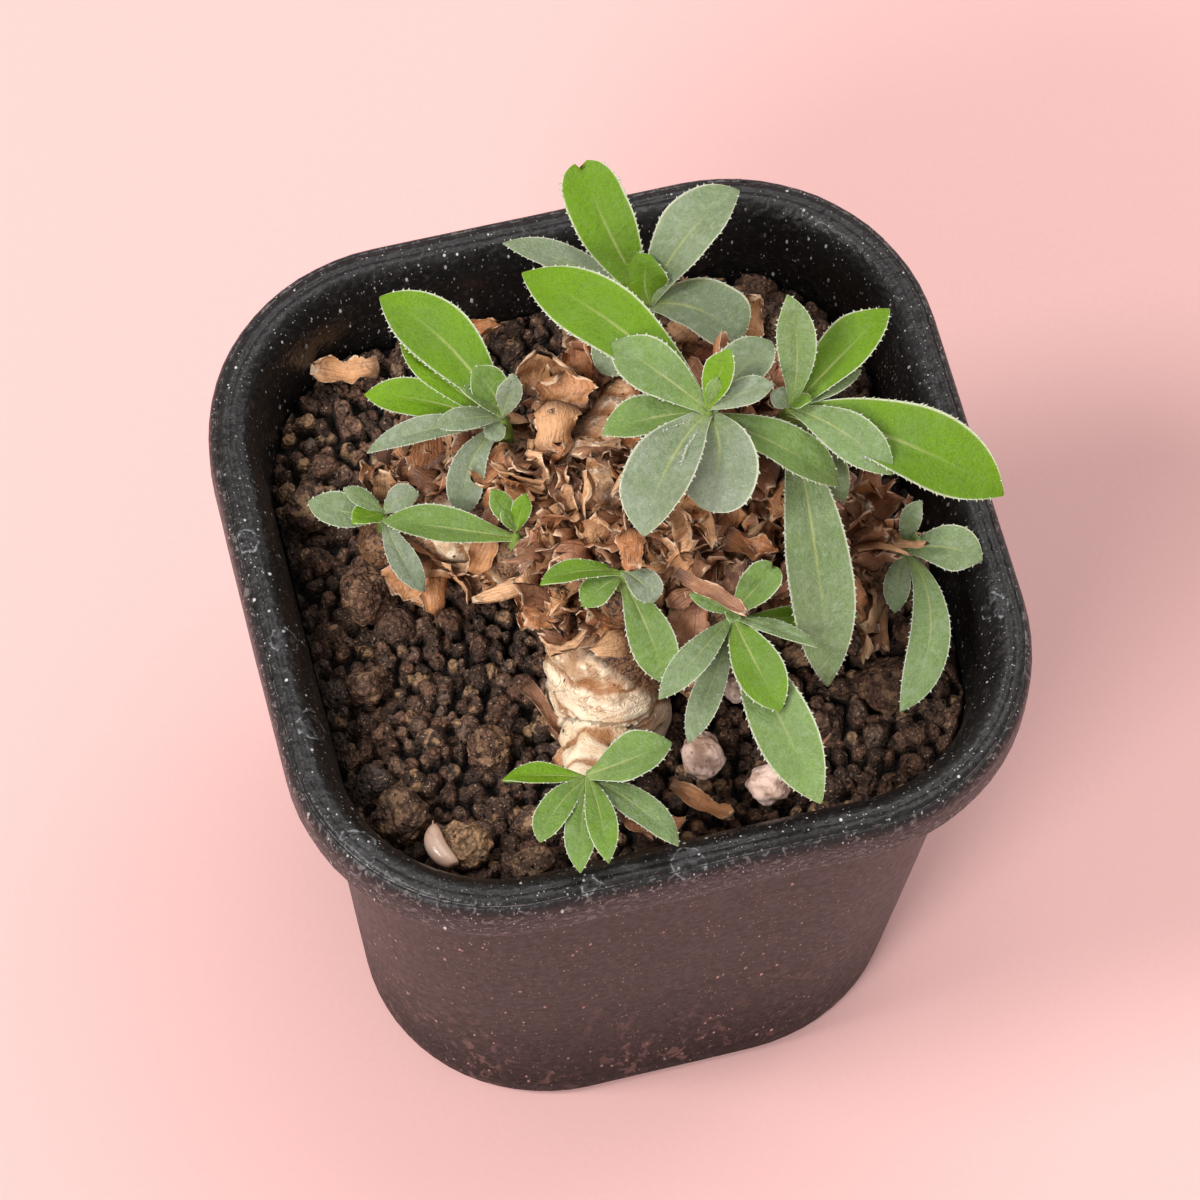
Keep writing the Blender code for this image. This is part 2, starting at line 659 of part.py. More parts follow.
def make_caudex():
    """The caudex: trunk and branches grown together, knobbly, with a plain root below the soil's top."""
    caudex = limb("caudex", TRUNK, 0, TRUNK_SIDES, "caudex")
    others = [limb(f"branch_{name}", run, 0, BRANCH_SIDES, "caudex") for name, run in BRANCHES.items()]
    combine(caudex, others, "UNION")
    even_out(caudex, CAUDEX_VOXEL)
    for vert in caudex.data.vertices:
        place = vert.co / MM
        if place.z > KNOBS_FROM:
            knob = noise.noise(place * Vector(KNOB_PITCH))
            bare = place.y < BARE_FRONT and place.x < 0 and place.z < BARE_TOP
            rise = knob * KNOB if bare else -WRAPPED_SINK
            vert.co += vert.normal * rise * MM
    thin_out(caudex, CAUDEX_TRIANGLES, "caudex")
    return caudex


def finish_caudex(caudex):
    """Adds the root below the trunk and a plain hole for each leafy stem."""
    rings = [disc((*ROOT_CENTRE, ROOT_DEPTH), SOIL_CORE - GAP, ROOT_SIDES),
             disc((*ROOT_CENTRE, SOIL_TOP), ROOT_RADIUS, ROOT_SIDES),
             disc((*ROOT_CENTRE, ROOT_NECK), ROOT_RADIUS - GAP, ROOT_SIDES)]
    combine(caudex, [loft(rings, "root", "caudex")], "UNION")
    combine(caudex, [stem_hole(name, rosette) for name, rosette in ROSETTES.items()], "DIFFERENCE")
    smooth(caudex, 40)
    return caudex


def stem_hole(name, rosette):
    """The plain hole that a leafy stem stands in."""
    x, y, z = rosette.crown
    rings = [disc((x, y, z - STEM_DEPTH - GAP), rosette.stem * STEM_TAPER + HOLE_ROOM, STEM_SIDES),
             disc((x, y, z + STEM_SHOULDER), rosette.stem + HOLE_ROOM, STEM_SIDES)]
    return loft(rings, f"hole_{name}", "caudex")


def branch_tubes(name, grow):
    """The trunk's upper part and every wrapped branch as plain tubes, grown by a distance, in one body."""
    tubes = limb(name, TRUNK[2:], grow, TUBE_SIDES, "dead")
    wrapped = {branch: run for branch, run in BRANCHES.items() if branch not in BARE_BRANCHES}
    others = [limb(f"{name}_{branch}", run, grow, TUBE_SIDES, "dead") for branch, run in wrapped.items()]
    combine(tubes, others, "UNION")
    even_out(tubes, TUBE_VOXEL)
    thin_out(tubes, TUBE_TRIANGLES, "dead")
    return tubes


def point_on(face, mesh, draw):
    """A point of a three-cornered face, drawn by chance."""
    a, b, c = (mesh.vertices[i].co / MM for i in face.vertices)
    across, along = sorted((draw.random(), draw.random()))
    return a * across + b * (along - across) + c * (1 - along)


def flake(name, place, outward, along, length, width, curl):
    """A curled papery strip that starts inside the mantle and stands out of it."""
    side = outward.cross(along).normalized()
    rings = []
    point = place - outward * FLAKE_ROOT
    angle = 0.0
    steps = len(FLAKE_OUTLINE) - 1
    for share in FLAKE_OUTLINE:
        direction = outward * math.cos(angle) + along * math.sin(angle)
        up = side.cross(direction)
        half = width / 2 * share
        edge = FLAKE_THICKNESS / 2
        rings.append([point - side * half + up * edge, point + side * half + up * edge,
                      point + side * half - up * edge, point - side * half - up * edge])
        point = point + direction * length / steps
        angle += curl / steps
    return loft(rings, name, "dead")


def make_dead_leaves(obstacles):
    """The dead leaves: a papery sleeve round the branches with curled flakes standing out of it."""
    draw = random.Random(5)
    sleeve = branch_tubes("dead_leaves", MANTLE_OUTER)
    keep_off = tree_of(obstacles)
    flakes = []
    skins = []
    triangles = list(sleeve.data.polygons)
    areas = np.array([p.area for p in triangles])
    upward = np.array([max(p.normal.z, 0) for p in triangles])
    chance = np.cumsum(areas * (1 + upward))
    while len(flakes) < FLAKES:
        pick = int(np.searchsorted(chance, draw.random() * chance[-1]))
        face = triangles[min(pick, len(triangles) - 1)]
        place = point_on(face, sleeve.data, draw)
        lean = Vector([draw.uniform(-FLAKE_LEAN, FLAKE_LEAN) for _ in range(3)])
        outward = (face.normal + lean).normalized()
        along = Vector([draw.uniform(-1, 1) for _ in range(3)])
        along = (along - outward * along.dot(outward)).normalized()
        strip = flake(f"flake_{len(flakes)}", place, outward, along, draw.uniform(*FLAKE_LENGTH),
                      draw.uniform(*FLAKE_WIDTH), draw.uniform(*FLAKE_CURL))
        own = tree_of([strip])
        crossed = any(own.overlap(skin) for skin in skins)
        if not crossed and stays_clear(strip, keep_off, FLAKE_CLEARANCE):
            flakes.append(strip)
            skins.append(own)
        else:
            bpy.data.objects.remove(strip, do_unlink=True)
    combine(sleeve, flakes, "UNION")
    cutters = [branch_tubes("branch_room", MANTLE_INNER),
               limb("trunk_room", TRUNK, MANTLE_INNER, BRANCH_SIDES, "dead")]
    cutters += [limb(f"{name}_room", BRANCHES[name], MANTLE_INNER, BRANCH_SIDES, "dead")
                for name in BARE_BRANCHES]
    cutters += [stem_hole(f"{name}_room", rosette) for name, rosette in ROSETTES.items()]
    combine(sleeve, cutters, "DIFFERENCE")
    smooth(sleeve, 35)


def stays_clear(item, tree, distance):
    """Whether every part of an object keeps a distance from what a search tree holds."""
    own = tree_of([item])
    if own.overlap(tree):
        return False
    for face in item.data.polygons:
        for place in [face.center / MM] + [item.data.vertices[i].co / MM for i in face.vertices]:
            if tree.find_nearest(place, distance)[0] is not None:
                return False
    return True


def settle(item, ground, bumps):
    """Lowers a loose piece until it all but touches the ground, which is a tree and its points."""
    own = tree_of([item])
    down = Vector((0, 0, -1))
    room = math.inf
    for vert in item.data.vertices:
        hit = ground.ray_cast(vert.co / MM, down)
        if hit[0] is not None:
            room = min(room, hit[3])
    for place in bumps:
        hit = own.ray_cast(place, -down)
        if hit[0] is not None:
            room = min(room, hit[3])
    for vert in item.data.vertices:
        vert.co.z -= (room - GAP) * MM


def fallen_leaf(name, place, length, width, heading):
    """A dry leaf on the soil: a curled blade."""
    leaf = Leaf(heading, length, width, *FALLEN_BEND)
    turn = math.radians(heading)
    middle = Vector((*place, SOIL_TOP + DROP_HEIGHT))
    start = middle - Vector((math.cos(turn), math.sin(turn), 0)) * length / 2
    return leaf_mesh(name, start, leaf, "dead")


def husk(name, place):
    """A pale grain husk: a long rounded shell of some plant's seed."""
    ball = bmesh.new()
    bmesh.ops.create_uvsphere(ball, u_segments=10, v_segments=7, radius=1.0)
    turn = math.radians(HUSK_TURN)
    verts = []
    for vert in ball.verts:
        x, y, z = vert.co * Vector(HUSK_HALVES)
        spun_x = x * math.cos(turn) - y * math.sin(turn)
        spun_y = x * math.sin(turn) + y * math.cos(turn)
        verts.append((place[0] + spun_x, place[1] + spun_y, SOIL_TOP + DROP_HEIGHT + z))
    faces = [[v.index for v in face.verts] for face in ball.faces]
    ball.free()
    return add_object(name, verts, faces, "husk")


def main():
    clear_scene()
    pot = make_pot()
    soil = make_soil()
    rosettes = [make_rosette(name, rosette) for name, rosette in ROSETTES.items()]
    caudex = make_caudex()
    make_dead_leaves(rosettes + [pot, soil])
    finish_caudex(caudex)
    ground = tree_of([soil])
    bumps = [v.co / MM for v in soil.data.vertices]
    loose = [stone(f"pumice_{i + 1}", place, SOIL_TOP + DROP_HEIGHT, size, 70 + i, "pumice")
             for i, (place, size) in enumerate(PUMICE)]
    loose += [fallen_leaf(name, *row) for name, row in FALLEN_LEAVES.items()]
    loose.append(husk("husk", HUSK_PLACE))
    for item in loose:
        settle(item, ground, bumps)
        smooth(item, 35)


main()
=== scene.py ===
"""Dresses the potted othonna: leaves, bark, dead leaves, coarse soil and pot, each worked out with numpy.

Lengths are in millimetres, and MM turns a finished mesh into metres. Angles are in degrees, but a flake's rise, curl,
cup and twist are in radians.
"""

import math
from collections import namedtuple

import bmesh
import bpy
import numpy as np
from bpy.props import FloatProperty, FloatVectorProperty, IntProperty, PointerProperty
from mathutils import Matrix, Vector, geometry
from mathutils.bvhtree import BVHTree


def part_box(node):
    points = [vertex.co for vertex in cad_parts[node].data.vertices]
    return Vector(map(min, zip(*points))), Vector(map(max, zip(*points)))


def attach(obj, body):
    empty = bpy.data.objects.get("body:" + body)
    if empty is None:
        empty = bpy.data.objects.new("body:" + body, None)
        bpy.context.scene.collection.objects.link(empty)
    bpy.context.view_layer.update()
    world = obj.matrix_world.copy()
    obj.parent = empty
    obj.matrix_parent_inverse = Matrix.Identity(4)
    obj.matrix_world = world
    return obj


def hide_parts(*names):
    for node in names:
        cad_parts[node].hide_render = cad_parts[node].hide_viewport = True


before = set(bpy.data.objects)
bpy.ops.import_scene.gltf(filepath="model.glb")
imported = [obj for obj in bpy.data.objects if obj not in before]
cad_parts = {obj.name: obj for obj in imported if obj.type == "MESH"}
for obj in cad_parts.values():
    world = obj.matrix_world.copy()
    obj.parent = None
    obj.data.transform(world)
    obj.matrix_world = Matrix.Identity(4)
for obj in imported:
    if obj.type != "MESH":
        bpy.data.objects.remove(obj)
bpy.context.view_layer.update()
BODY = "root"

bl_info = {
    "name": "Potted Othonna",
    "version": (1, 0, 0),
    "blender": (4, 5, 0),
    "location": "View3D > Sidebar > Othonna",
    "description": "Builds a potted othonna's leaves, bark, dead leaves, soil and pot round its packed solids",
    "category": "Add Mesh",
}

MM = 0.001

# ---- the plant's and the pot's sizes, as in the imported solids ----
POT_PROFILE = (
    (31.0, 21.0, 1.2), (31.2, 21.15, 0.3), (31.6, 21.4, 0.0), (34.0, 23.1, 0.0), (34.6, 23.6, 0.25),
    (35.3, 24.0, 1.2), (35.5, 24.0, 1.9), (36.8, 23.3, 24.0), (38.0, 22.4, 46.0), (39.3, 21.6, 68.0),
    (40.2, 20.9, 84.6), (40.35, 21.0, 87.6), (40.6, 21.2, 89.2), (43.0, 23.6, 89.2), (43.3, 23.9, 88.0),
    (43.5, 24.1, 85.1), (43.8, 24.4, 84.8), (44.4, 24.9, 84.8), (44.85, 25.35, 85.05), (45.0, 25.5, 85.6),
    (45.0, 25.5, 87.6), (45.0, 25.5, 89.6), (44.9, 25.4, 90.5), (44.65, 25.15, 91.2), (44.35, 24.85, 91.55),
    (44.12, 24.62, 91.7), (43.98, 24.48, 91.3), (43.84, 24.34, 91.74), (43.4, 23.9, 91.95), (42.75, 23.25, 92.0),
    (42.55, 23.05, 91.82), (42.35, 22.85, 91.95), (41.7, 22.2, 91.9), (41.1, 21.6, 91.6), (40.5, 21.0, 91.05),
    (39.95, 20.5, 90.2), (39.5, 20.0, 89.3), (39.1, 19.7, 88.0), (38.8, 19.4, 86.5), (38.5, 19.1, 84.2),
    (38.3, 18.9, 82.0), (36.8, 19.8, 58.0), (35.0, 20.8, 30.0), (33.4, 21.7, 5.0), (33.0, 21.4, 3.0),
    (32.4, 20.9, 2.4), (32.0, 20.6, 2.2))
WALL_ROWS = 14
GROOVE_ROW = 26
PROFILE_STEP = 4.0
CORNER_STEPS = 16
SIDE_STEPS = 10
DRAIN_RADIUS = 4.0
DRAIN_OFFSET = 17.0
DRAIN_STEPS = 24

SOIL_TOP = 79.6
SOIL_HALF = 37.8
SOIL_CORNER = 18.7
SOIL_SKIRT = ((37.2, 19.0, 68.0), (34.9, 20.4, 30.0), (33.0, 21.4, 3.2))  # its sides: half, corner and height
EDGE_DROP = 1.2
WALL_BAND = 3.2  # beside the left and right walls the soil sinks and gets painted shade
WALL_SINK = 2.4
DEEPEST_GAP = -2.6
GRAIN_TABLE = 96  # rows and columns of drawn grains before they repeat
GRAIN_ROW = 0.88  # distance between rows of grains, and how far a grain may shift, as shares of their pitch
GRAIN_SHIFT = 0.62
NO_GRAIN = -9.0

Leaf = namedtuple("Leaf", "heading length width rise tip sweep tone full notch", defaults=(2.3, 0.0))
Rosette = namedtuple("Rosette", "crown stem leaves")
ROUND = 3.2

# each leaf: heading, length, width, pitch at the base and at the tip, turn, and how glaucous it is
ROSETTES = {
    "leaves_crown": Rosette((10, -1, 121), 1.8, (
        Leaf(118, 28.5, 8.6, 15, -15, 15, 0.10), Leaf(133, 14.0, 6.4, 25, -10, -5, 0.55),
        Leaf(170, 12.5, 5.6, 10, -15, 15, 0.45), Leaf(218, 17.5, 8.6, 15, -20, 25, 0.90),
        Leaf(285, 12.0, 9.0, 10, -35, -70, 0.95, ROUND), Leaf(329, 17.5, 6.6, -5, -30, -10, 0.50),
        Leaf(353, 8.5, 3.6, 40, 10, 5, 0.90), Leaf(43, 8.0, 4.0, 60, 45, 5, 0.05),
        Leaf(45, 4.5, 1.8, 65, 60, 0, 0.50), Leaf(40, 11.5, 6.0, 15, 0, -10, 0.75, ROUND))),
    "leaves_right": Rosette((20, -1, 117), 1.8, (
        Leaf(56, 14.5, 4.6, 60, 50, 50, 0.60), Leaf(27, 16.5, 6.2, 25, 5, 5, 0.18),
        Leaf(327, 27.0, 9.4, 15, -25, -5, 0.22), Leaf(315, 15.0, 5.6, 25, -15, -15, 0.65),
        Leaf(268, 32.5, 8.2, -10, -50, -5, 0.68), Leaf(14, 9.5, 3.2, 20, 0, 0, 0.70),
        Leaf(327, 3.5, 2.2, 55, 40, 0, 0.30), Leaf(293, 12.0, 4.6, -10, -40, 0, 0.75),
        Leaf(145, 3.0, 2.6, 40, 20, 0, 0.90))),
    "leaves_back": Rosette((8.5, 19.5, 110), 1.6, (
        Leaf(118, 19.5, 7.2, 40, 15, -25, 0.18, 4.2, 1.0), Leaf(48, 17.5, 7.8, 40, 10, -30, 0.82, ROUND),
        Leaf(134, 19.0, 4.2, 15, 5, 20, 0.88), Leaf(107, 6.0, 6.0, 50, 35, -70, 0.05, ROUND),
        Leaf(347, 12.5, 8.4, 25, -35, -45, 0.88, ROUND), Leaf(220, 9.5, 5.6, 5, -40, -5, 0.88, ROUND))),
    "leaves_back_left": Rosette((-11.5, 10, 108), 1.7, (
        Leaf(105, 21.5, 7.8, 20, -5, 30, 0.14), Leaf(141, 15.5, 4.2, 20, -5, -25, 0.0),
        Leaf(141, 18.0, 4.8, 0, -25, 10, 0.05), Leaf(166, 16.5, 3.6, 5, -20, 20, 0.90),
        Leaf(180, 8.5, 3.0, 35, -10, 0, 0.85), Leaf(98, 7.0, 4.6, 45, 30, 35, 0.35),
        Leaf(33, 6.5, 3.0, 70, 55, 35, 0.85), Leaf(226, 3.0, 2.6, 20, -30, 0, 0.95),
        Leaf(197, 12.5, 4.4, -10, -50, 70, 1.0), Leaf(146, 6.5, 2.6, 45, 25, 0, 0.45))),
    "leaves_middle_left": Rosette((-13, -3, 104), 1.3, (
        Leaf(159, 16.0, 5.0, 5, -10, -5, 0.42), Leaf(114, 6.0, 2.8, 45, 30, 0, 0.35),
        Leaf(56, 5.0, 2.4, 55, 40, 0, 0.20), Leaf(124, 3.5, 1.8, 50, 40, 0, 0.40))),
    "leaves_left": Rosette((-26.5, 7.5, 95), 1.3, (
        Leaf(176, 9.5, 4.4, 20, 0, -35, 0.72), Leaf(145, 6.0, 2.2, 40, 20, 0, 0.65),
        Leaf(199, 5.0, 3.6, 35, 20, 0, 0.15), Leaf(270, 10.5, 3.4, 10, -30, 30, 0.98),
        Leaf(28, 5.5, 3.4, 40, 30, -60, 0.92))),
    "leaves_middle_front": Rosette((-3, -13.5, 110), 1.3, (
        Leaf(163, 10.0, 3.4, 20, -5, 30, 0.22), Leaf(195, 6.0, 3.8, 10, -20, 20, 0.38),
        Leaf(319, 5.5, 3.8, 25, -20, -40, 0.92, ROUND), Leaf(284, 13.5, 5.4, -5, -40, -5, 0.42))),
    "leaves_front": Rosette((8.5, -20, 106), 1.6, (
        Leaf(23, 8.0, 4.2, 40, 25, 10, 0.45, 4.2, 0.5), Leaf(320, 11.0, 2.6, 20, 0, 0, 0.70),
        Leaf(355, 15.5, 3.0, -5, -20, 0, 0.10), Leaf(221, 14.5, 3.8, 20, -5, -5, 0.68),
        Leaf(239, 15.0, 3.6, -10, -35, -10, 0.80), Leaf(276, 13.0, 5.8, 15, -20, 10, 0.25),
        Leaf(279, 24.0, 7.2, 0, -20, 5, 0.52), Leaf(152, 6.0, 2.2, 35, 20, 0, 0.50),
        Leaf(247, 3.5, 1.8, 50, 40, 0, 0.50))),
    "leaves_low_right": Rosette((32.5, -11.5, 94.5), 1.2, (
        Leaf(90, 6.5, 2.6, 55, 40, -70, 0.75), Leaf(353, 9.5, 5.6, 25, -5, -40, 0.72),
        Leaf(287, 21.5, 5.0, 15, -30, -70, 0.66), Leaf(233, 8.0, 3.2, 15, -25, 25, 0.80),
        Leaf(351, 2.5, 2.2, 60, 50, 0, 0.50))),
    "leaves_low_front": Rosette((-11.5, -31.5, 96), 1.1, (
        Leaf(164, 10.0, 3.4, 15, -5, 10, 0.05), Leaf(350, 11.0, 6.6, 35, 10, 20, 0.50),
        Leaf(208, 10.5, 3.8, 20, -5, 30, 0.38, ROUND), Leaf(247, 12.5, 3.8, 20, -10, 10, 0.46),
        Leaf(272, 13.0, 3.6, 30, 0, -10, 0.40), Leaf(313, 14.0, 4.6, 20, -10, -15, 0.66))),
}
SLOT_OF = {"leaves_back_left": "young_leaf", "leaves_low_front": "young_leaf", "leaves_back": "young_leaf"}
# a leafy stem: depths below its crown, with shares of its radius
STEM_STEPS = ((9.2, 0.80), (5.0, 0.80), (2.4, 0.62), (0.6, 0.25))
STEM_RINGS = 14
STEM_AROUND = 16
OLDEST_DROP = 3.0
WIDEST = 0.6
STALK_WIDTH = 0.2
MIDRIB_STEPS = 240
TOOTH_FACES = np.array([[0, 1, 4], [1, 2, 4], [2, 3, 4], [3, 0, 4], [3, 2, 1], [3, 1, 0]])

# the branches: runs of (x, y, z, radius), each sampled evenly, and how far apart their places along a run start
RUN_SAMPLES = 24
TRUNK_GRID = (40, 28)
LIMB_GRID = (24, 24)
THIN_BARK = 0.1  # how far the bark stands out from a run, on the bare ones and on the others
THICK_BARK = 0.9
RUN_SHIFT = 37.0
TRUNK = ((-5, -16.5, 78, 7.4), (-5, -16.5, 86, 7.0), (-4.5, -14, 90, 7.6), (-3, -9, 94, 8.2), (0, -2, 98, 9.0),
         (2, 4, 98, 8.5))
BRANCHES = {
    "crown": ((3, 1, 101, 6.5), (8, -0.5, 108, 4.8), (10, -1, 113.5, 2.9)),
    "right": ((8, 0, 100, 6.5), (15, 0, 103.5, 5.2), (20, -1, 108.5, 2.9)),
    "back": ((4, 6, 99, 6.5), (7, 13, 100, 5.0), (8.5, 19.5, 102.5, 2.8)),
    "back_left": ((-4, 4, 98, 6.5), (-9, 8, 97.5, 5.2), (-11.5, 10, 99.5, 3.0)),
    "left": ((-8, 4, 95, 6.0), (-16, 6.5, 91.5, 5.4), (-22, 7.5, 88.5, 4.1), (-26.5, 7.5, 87.5, 2.6)),
    "middle_left": ((-6, -1, 97, 6.0), (-13, -3, 97, 3.0)),
    "middle_front": ((-2, -8, 97, 6.0), (-3, -13.5, 102.5, 2.8)),
    "front": ((3, -8, 97, 6.5), (6, -15, 98, 4.6), (8.5, -20, 98.5, 2.8)),
    "low_right": ((10, -2, 98, 6.0), (18, -5, 95, 5.2), (26, -8.5, 90, 4.0), (32.5, -11.5, 88, 2.5)),
    "low_front": ((-7, -21, 84.5, 4.6), (-9.5, -27, 86.5, 3.2), (-11.5, -31.5, 89, 2.3)),
}
# places where pale bark shows between the dead leaves: (x, y, z, reach)
BARE_SPOTS = ((1.0, 10.0, 106.5, 4.0), (-0.4, 4.8, 107.5, 4.0), (-2.4, -1.2, 106.5, 3.2), (-19.5, 2.5, 95.0, 3.4))
BARE_TOP = 97.0
BARE_SLOPE = (0.81, 0.5, 0.5)
BARE_LINE = 14.2

# single dead leaves: middle (x, y, z), heading, pitch, length, width, curl, cup, twist and tone
STRAYS = (
    (-5.0, 15.8, 106.0, 74, 24, 6.0, 8.2, 1.2, 0.9, 0.1, 0.86),
    (-3.5, 11.6, 107.6, 74, 12, 4.6, 7.6, 1.6, 0.8, 0, 0.70),
    (-5.7, 7.2, 108.0, 254, -12, 6.2, 6.6, -1.0, -1.2, 0.1, 0.84),
    (26.0, -9.0, 101.0, -8, 8, 6.6, 4.6, 1.3, 0.9, 0.6, 0.42),
    (-1.9, -12.8, 113.4, 262, -8, 4.8, 3.3, -0.5, -0.7, 0.1, 0.62),
    (5.8, -19.5, 111.2, 311, 0, 9.8, 2.0, 0.3, 0.5, 0.3, 0.46),
    (-6.6, -1.5, 107.2, 265, -5, 6.2, 4.2, 0.9, 0.9, 0.3, 0.03),
    (-11.5, 0.9, 103.6, 300, 5, 6.5, 4.6, 1.2, 1.5, 0, 0.88),
    (-13.5, 5.3, 103.5, 210, 8, 7.0, 4.6, 1.0, 0.8, -0.4, 0.66),
    (5.5, -11.4, 106.6, 5, 2, 8.6, 3.6, 0.5, 1.3, 0.5, 0.52),
    (0.6, -1.8, 109.0, 280, 0, 5.2, 3.8, 0.8, 1.9, 0.2, 0.74),
    (-13.1, -18.2, 84.2, 288, -12, 9.4, 2.3, -0.5, 0.9, 1.2, 0.36),
    (-10.6, -20.6, 82.6, 320, -8, 5.6, 2.0, 3.4, 0.8, 0.4, 0.72),
    (16.0, -30.5, 81.4, 40, 2, 9.0, 0.8, 0.3, 0.4, 3.5, 0.20),
    (-17.0, -2.5, 99.5, 225, -18, 7.0, 4.0, 0.8, 1.2, 0.5, 0.78),
    (12.8, -12.5, 106.0, 330, -10, 7.0, 3.6, 1.2, 0.9, 0.8, 0.60),
    (20.5, 17.0, 105.0, 60, 20, 6.0, 4.0, 1.0, 0.8, 0.4, 0.80),
    (-12.6, -9.0, 98.0, 240, -35, 7.4, 3.8, -0.6, 1.0, 0.4, 0.68),
    (2.2, -17.6, 97.0, 285, -50, 8.0, 2.0, 0.3, 0.7, 1.0, 0.58),
    (4.6, -19.6, 92.5, 262, -60, 8.0, 1.6, 0.4, 0.7, 1.2, 0.40),
    (-0.5, -17.5, 99.5, 268, -48, 7.0, 1.8, 0.2, 0.6, 0.6, 0.72),
    (-3.6, -15.6, 100.5, 250, -42, 6.0, 2.2, 0.3, 0.9, 0.8, 0.62),
    (-5.6, -34.0, 82.6, 300, 0, 4.6, 2.6, 0.5, 0.9, 0.9, 0.52),
    (-2.0, -35.0, 82.2, 20, 4, 3.8, 2.2, 0.7, 0.9, 0.5, 0.66),
    (-12.0, -22.6, 82.4, 40, -6, 4.2, 1.8, 1.9, 0.8, 0.7, 0.90))

Flakes = namedtuple("Flakes", "root out along length width rise curl cup twist tone")
FlakeKind = namedtuple("FlakeKind", "rows half_around thickness length width rise curl cup twist")
FLAKE_KINDS = {
    "petals": FlakeKind(9, 4, 0.10, (4.5, 8.5), (3.6, 6.4), (0.0, 0.7), (-1.6, 2.4), (-2.2, 2.3), (-1.2, 1.2)),
    "shreds": FlakeKind(8, 3, 0.09, (5.0, 10.0), (1.8, 3.8), (0.0, 0.7), (-1.9, 2.8), (-1.6, 1.8), (-2.6, 2.6)),
}
RIBBON = (16, 8, 0.10)  # rows, points round a half and thickness
LOWEST_FLAKE = 84.5
LOWEST_ROOT = 83.0
LEAF_GAP = 0.8
FALLEN_LEAF = (26, 10, 0.20)
# fallen leaves: heading, length, width, tone, cup, curl and how far back from the middle of its box
FALLEN = {
    "dry_leaf_left": (165, 8.4, 4.0, 0.84, 0.9, 0.7, 1.6),
    "dry_leaf_back": (15, 8.0, 3.0, 0.60, 1.3, -0.9, 0.0),
    "dry_leaf_front": (318, 8.5, 2.6, 0.70, 1.1, 0.9, 0.0),
}

# the larger stones: x, y, size and tone
LAVA = ((-32.4, -25.0, 6.8, 0.30), (-33.0, -7.5, 4.8, 0.66), (-29.4, 4.4, 8.0, 0.45), (-26.2, -30.4, 6.4, 0.97),
        (-18.4, -34.6, 5.6, 0.30), (28.5, -22.5, 7.6, 0.40), (33.5, -17.0, 6.2, 0.55), (-33.5, 17.0, 6.4, 0.30),
        (-20.0, -19.0, 6.0, 0.40), (-14.5, 33.5, 6.6, 0.75), (24.0, 30.5, 6.4, 0.30), (33.0, 8.0, 6.0, 0.45))
HUSK_TURN = 100.0
HUSK_SHIFT = (1.6, -2.1, 0.0)
HUSK_LENGTH = 6.2
HUSK_WIDTH = 1.38
HUSK_ROWS = 40
HUSK_AROUND = 28

# dried water rings on the rim, and the scar on a crown leaf: (x, y, z, reach)
RING_MARKS = ((-41.7, -4.3, 90.5, 1.9), (-40.9, -15.6, 90.5, 2.0), (-39.2, -32.5, 91.2, 2.5), (-2.4, -43.4, 91.8, 2.0),
              (-43.0, 9.0, 91.7, 1.5), (41.0, -20.0, 91.2, 1.7), (-14.0, -43.2, 91.8, 1.2))
RING_WAVES = 1000 / 420  # pitch of the waves that bend the rings, and how far they bend them
RING_BEND = 2.2
BLEMISH = (5.95, -6.8, 120.2, 1.7)
# the pot's specks: pitch as a share of their spacing, least reach, and the share of places without one
SPECKS = ((1.15, 0.045, 0.24), (0.62, 0.065, 0.36), (0.36, 0.09, 0.40))
# near black for the pot's dark pits, and for the painted shade along its groove
POT_PIT_AND_GROOVE_SHADE = (0.004, 0.0035, 0.0035)
# painted shade: black in the grit's pits and in the gaps between its grains
PIT_SHADE_BLACK = (0.008, 0.006, 0.005)
GAP_SHADE_BLACK = (0.006, 0.004, 0.003)

# ---- the lights, in metres: place, size and colour, and the point that they face ----
LIGHTS = {
    "key": ((-1.62, -0.10, 2.30), 0.70, (1.0, 0.985, 0.96)),
    "top": ((0.25, 0.30, 1.40), 0.90, (1.0, 0.99, 0.98)),
    "front": ((-0.90, -0.82, 1.05), 0.55, (1.0, 0.97, 0.96)),
    "right": ((1.30, 0.55, 0.70), 0.70, (1.0, 0.98, 0.98)),
}
LIT_POINT = (0.0, 0.0, 0.07)
FLOOR_HALF = 6000.0
FLOOR_CELLS = 12

# ---- the camera, fitted to the photograph: its focus and the image's side are in pixels ----
VIEW_AZIMUTH = -15.9
VIEW_ELEVATION = 64.6
VIEW_ROLL = 1.9
VIEW_DISTANCE = 660.0
VIEW_SHIFT = (-1.22, 14.05)
VIEW_HEIGHT = 40.0
VIEW_FOCUS = 5156.0
IMAGE_SIDE = 1200.0
SENSOR = 36.0


# ---- numpy helpers ----
def unit(vectors):
    """Vectors divided by their lengths."""
    return vectors / np.linalg.norm(vectors, axis=-1, keepdims=True)


def ease(values, low, high):
    """Three t squared less two t cubed, t going from 0 at low to 1 at high."""
    t = np.clip((values - low) / (high - low), 0, 1)
    return t * t * (3 - 2 * t)


def wander(points, pitch, seed, waves=12):
    """Smooth chance values, mostly within -1 to 1: twice the mean of sine waves in drawn directions, a pitch long."""
    draw = np.random.default_rng(seed)
    runs = unit(draw.normal(size=(waves, 3))) * draw.uniform(0.65, 1.6, (waves, 1)) * math.tau / pitch
    return 2 * np.sin(points @ runs.T + draw.uniform(0, math.tau, waves)).mean(axis=-1)


def circle(count):
    """The angles of a circle's points."""
    return np.arange(count) * math.tau / count


def level(degrees):
    """A level direction, and the one square to it on its left."""
    turn = math.radians(degrees)
    return np.array([math.cos(turn), math.sin(turn), 0.0]), np.array([-math.sin(turn), math.cos(turn), 0.0])


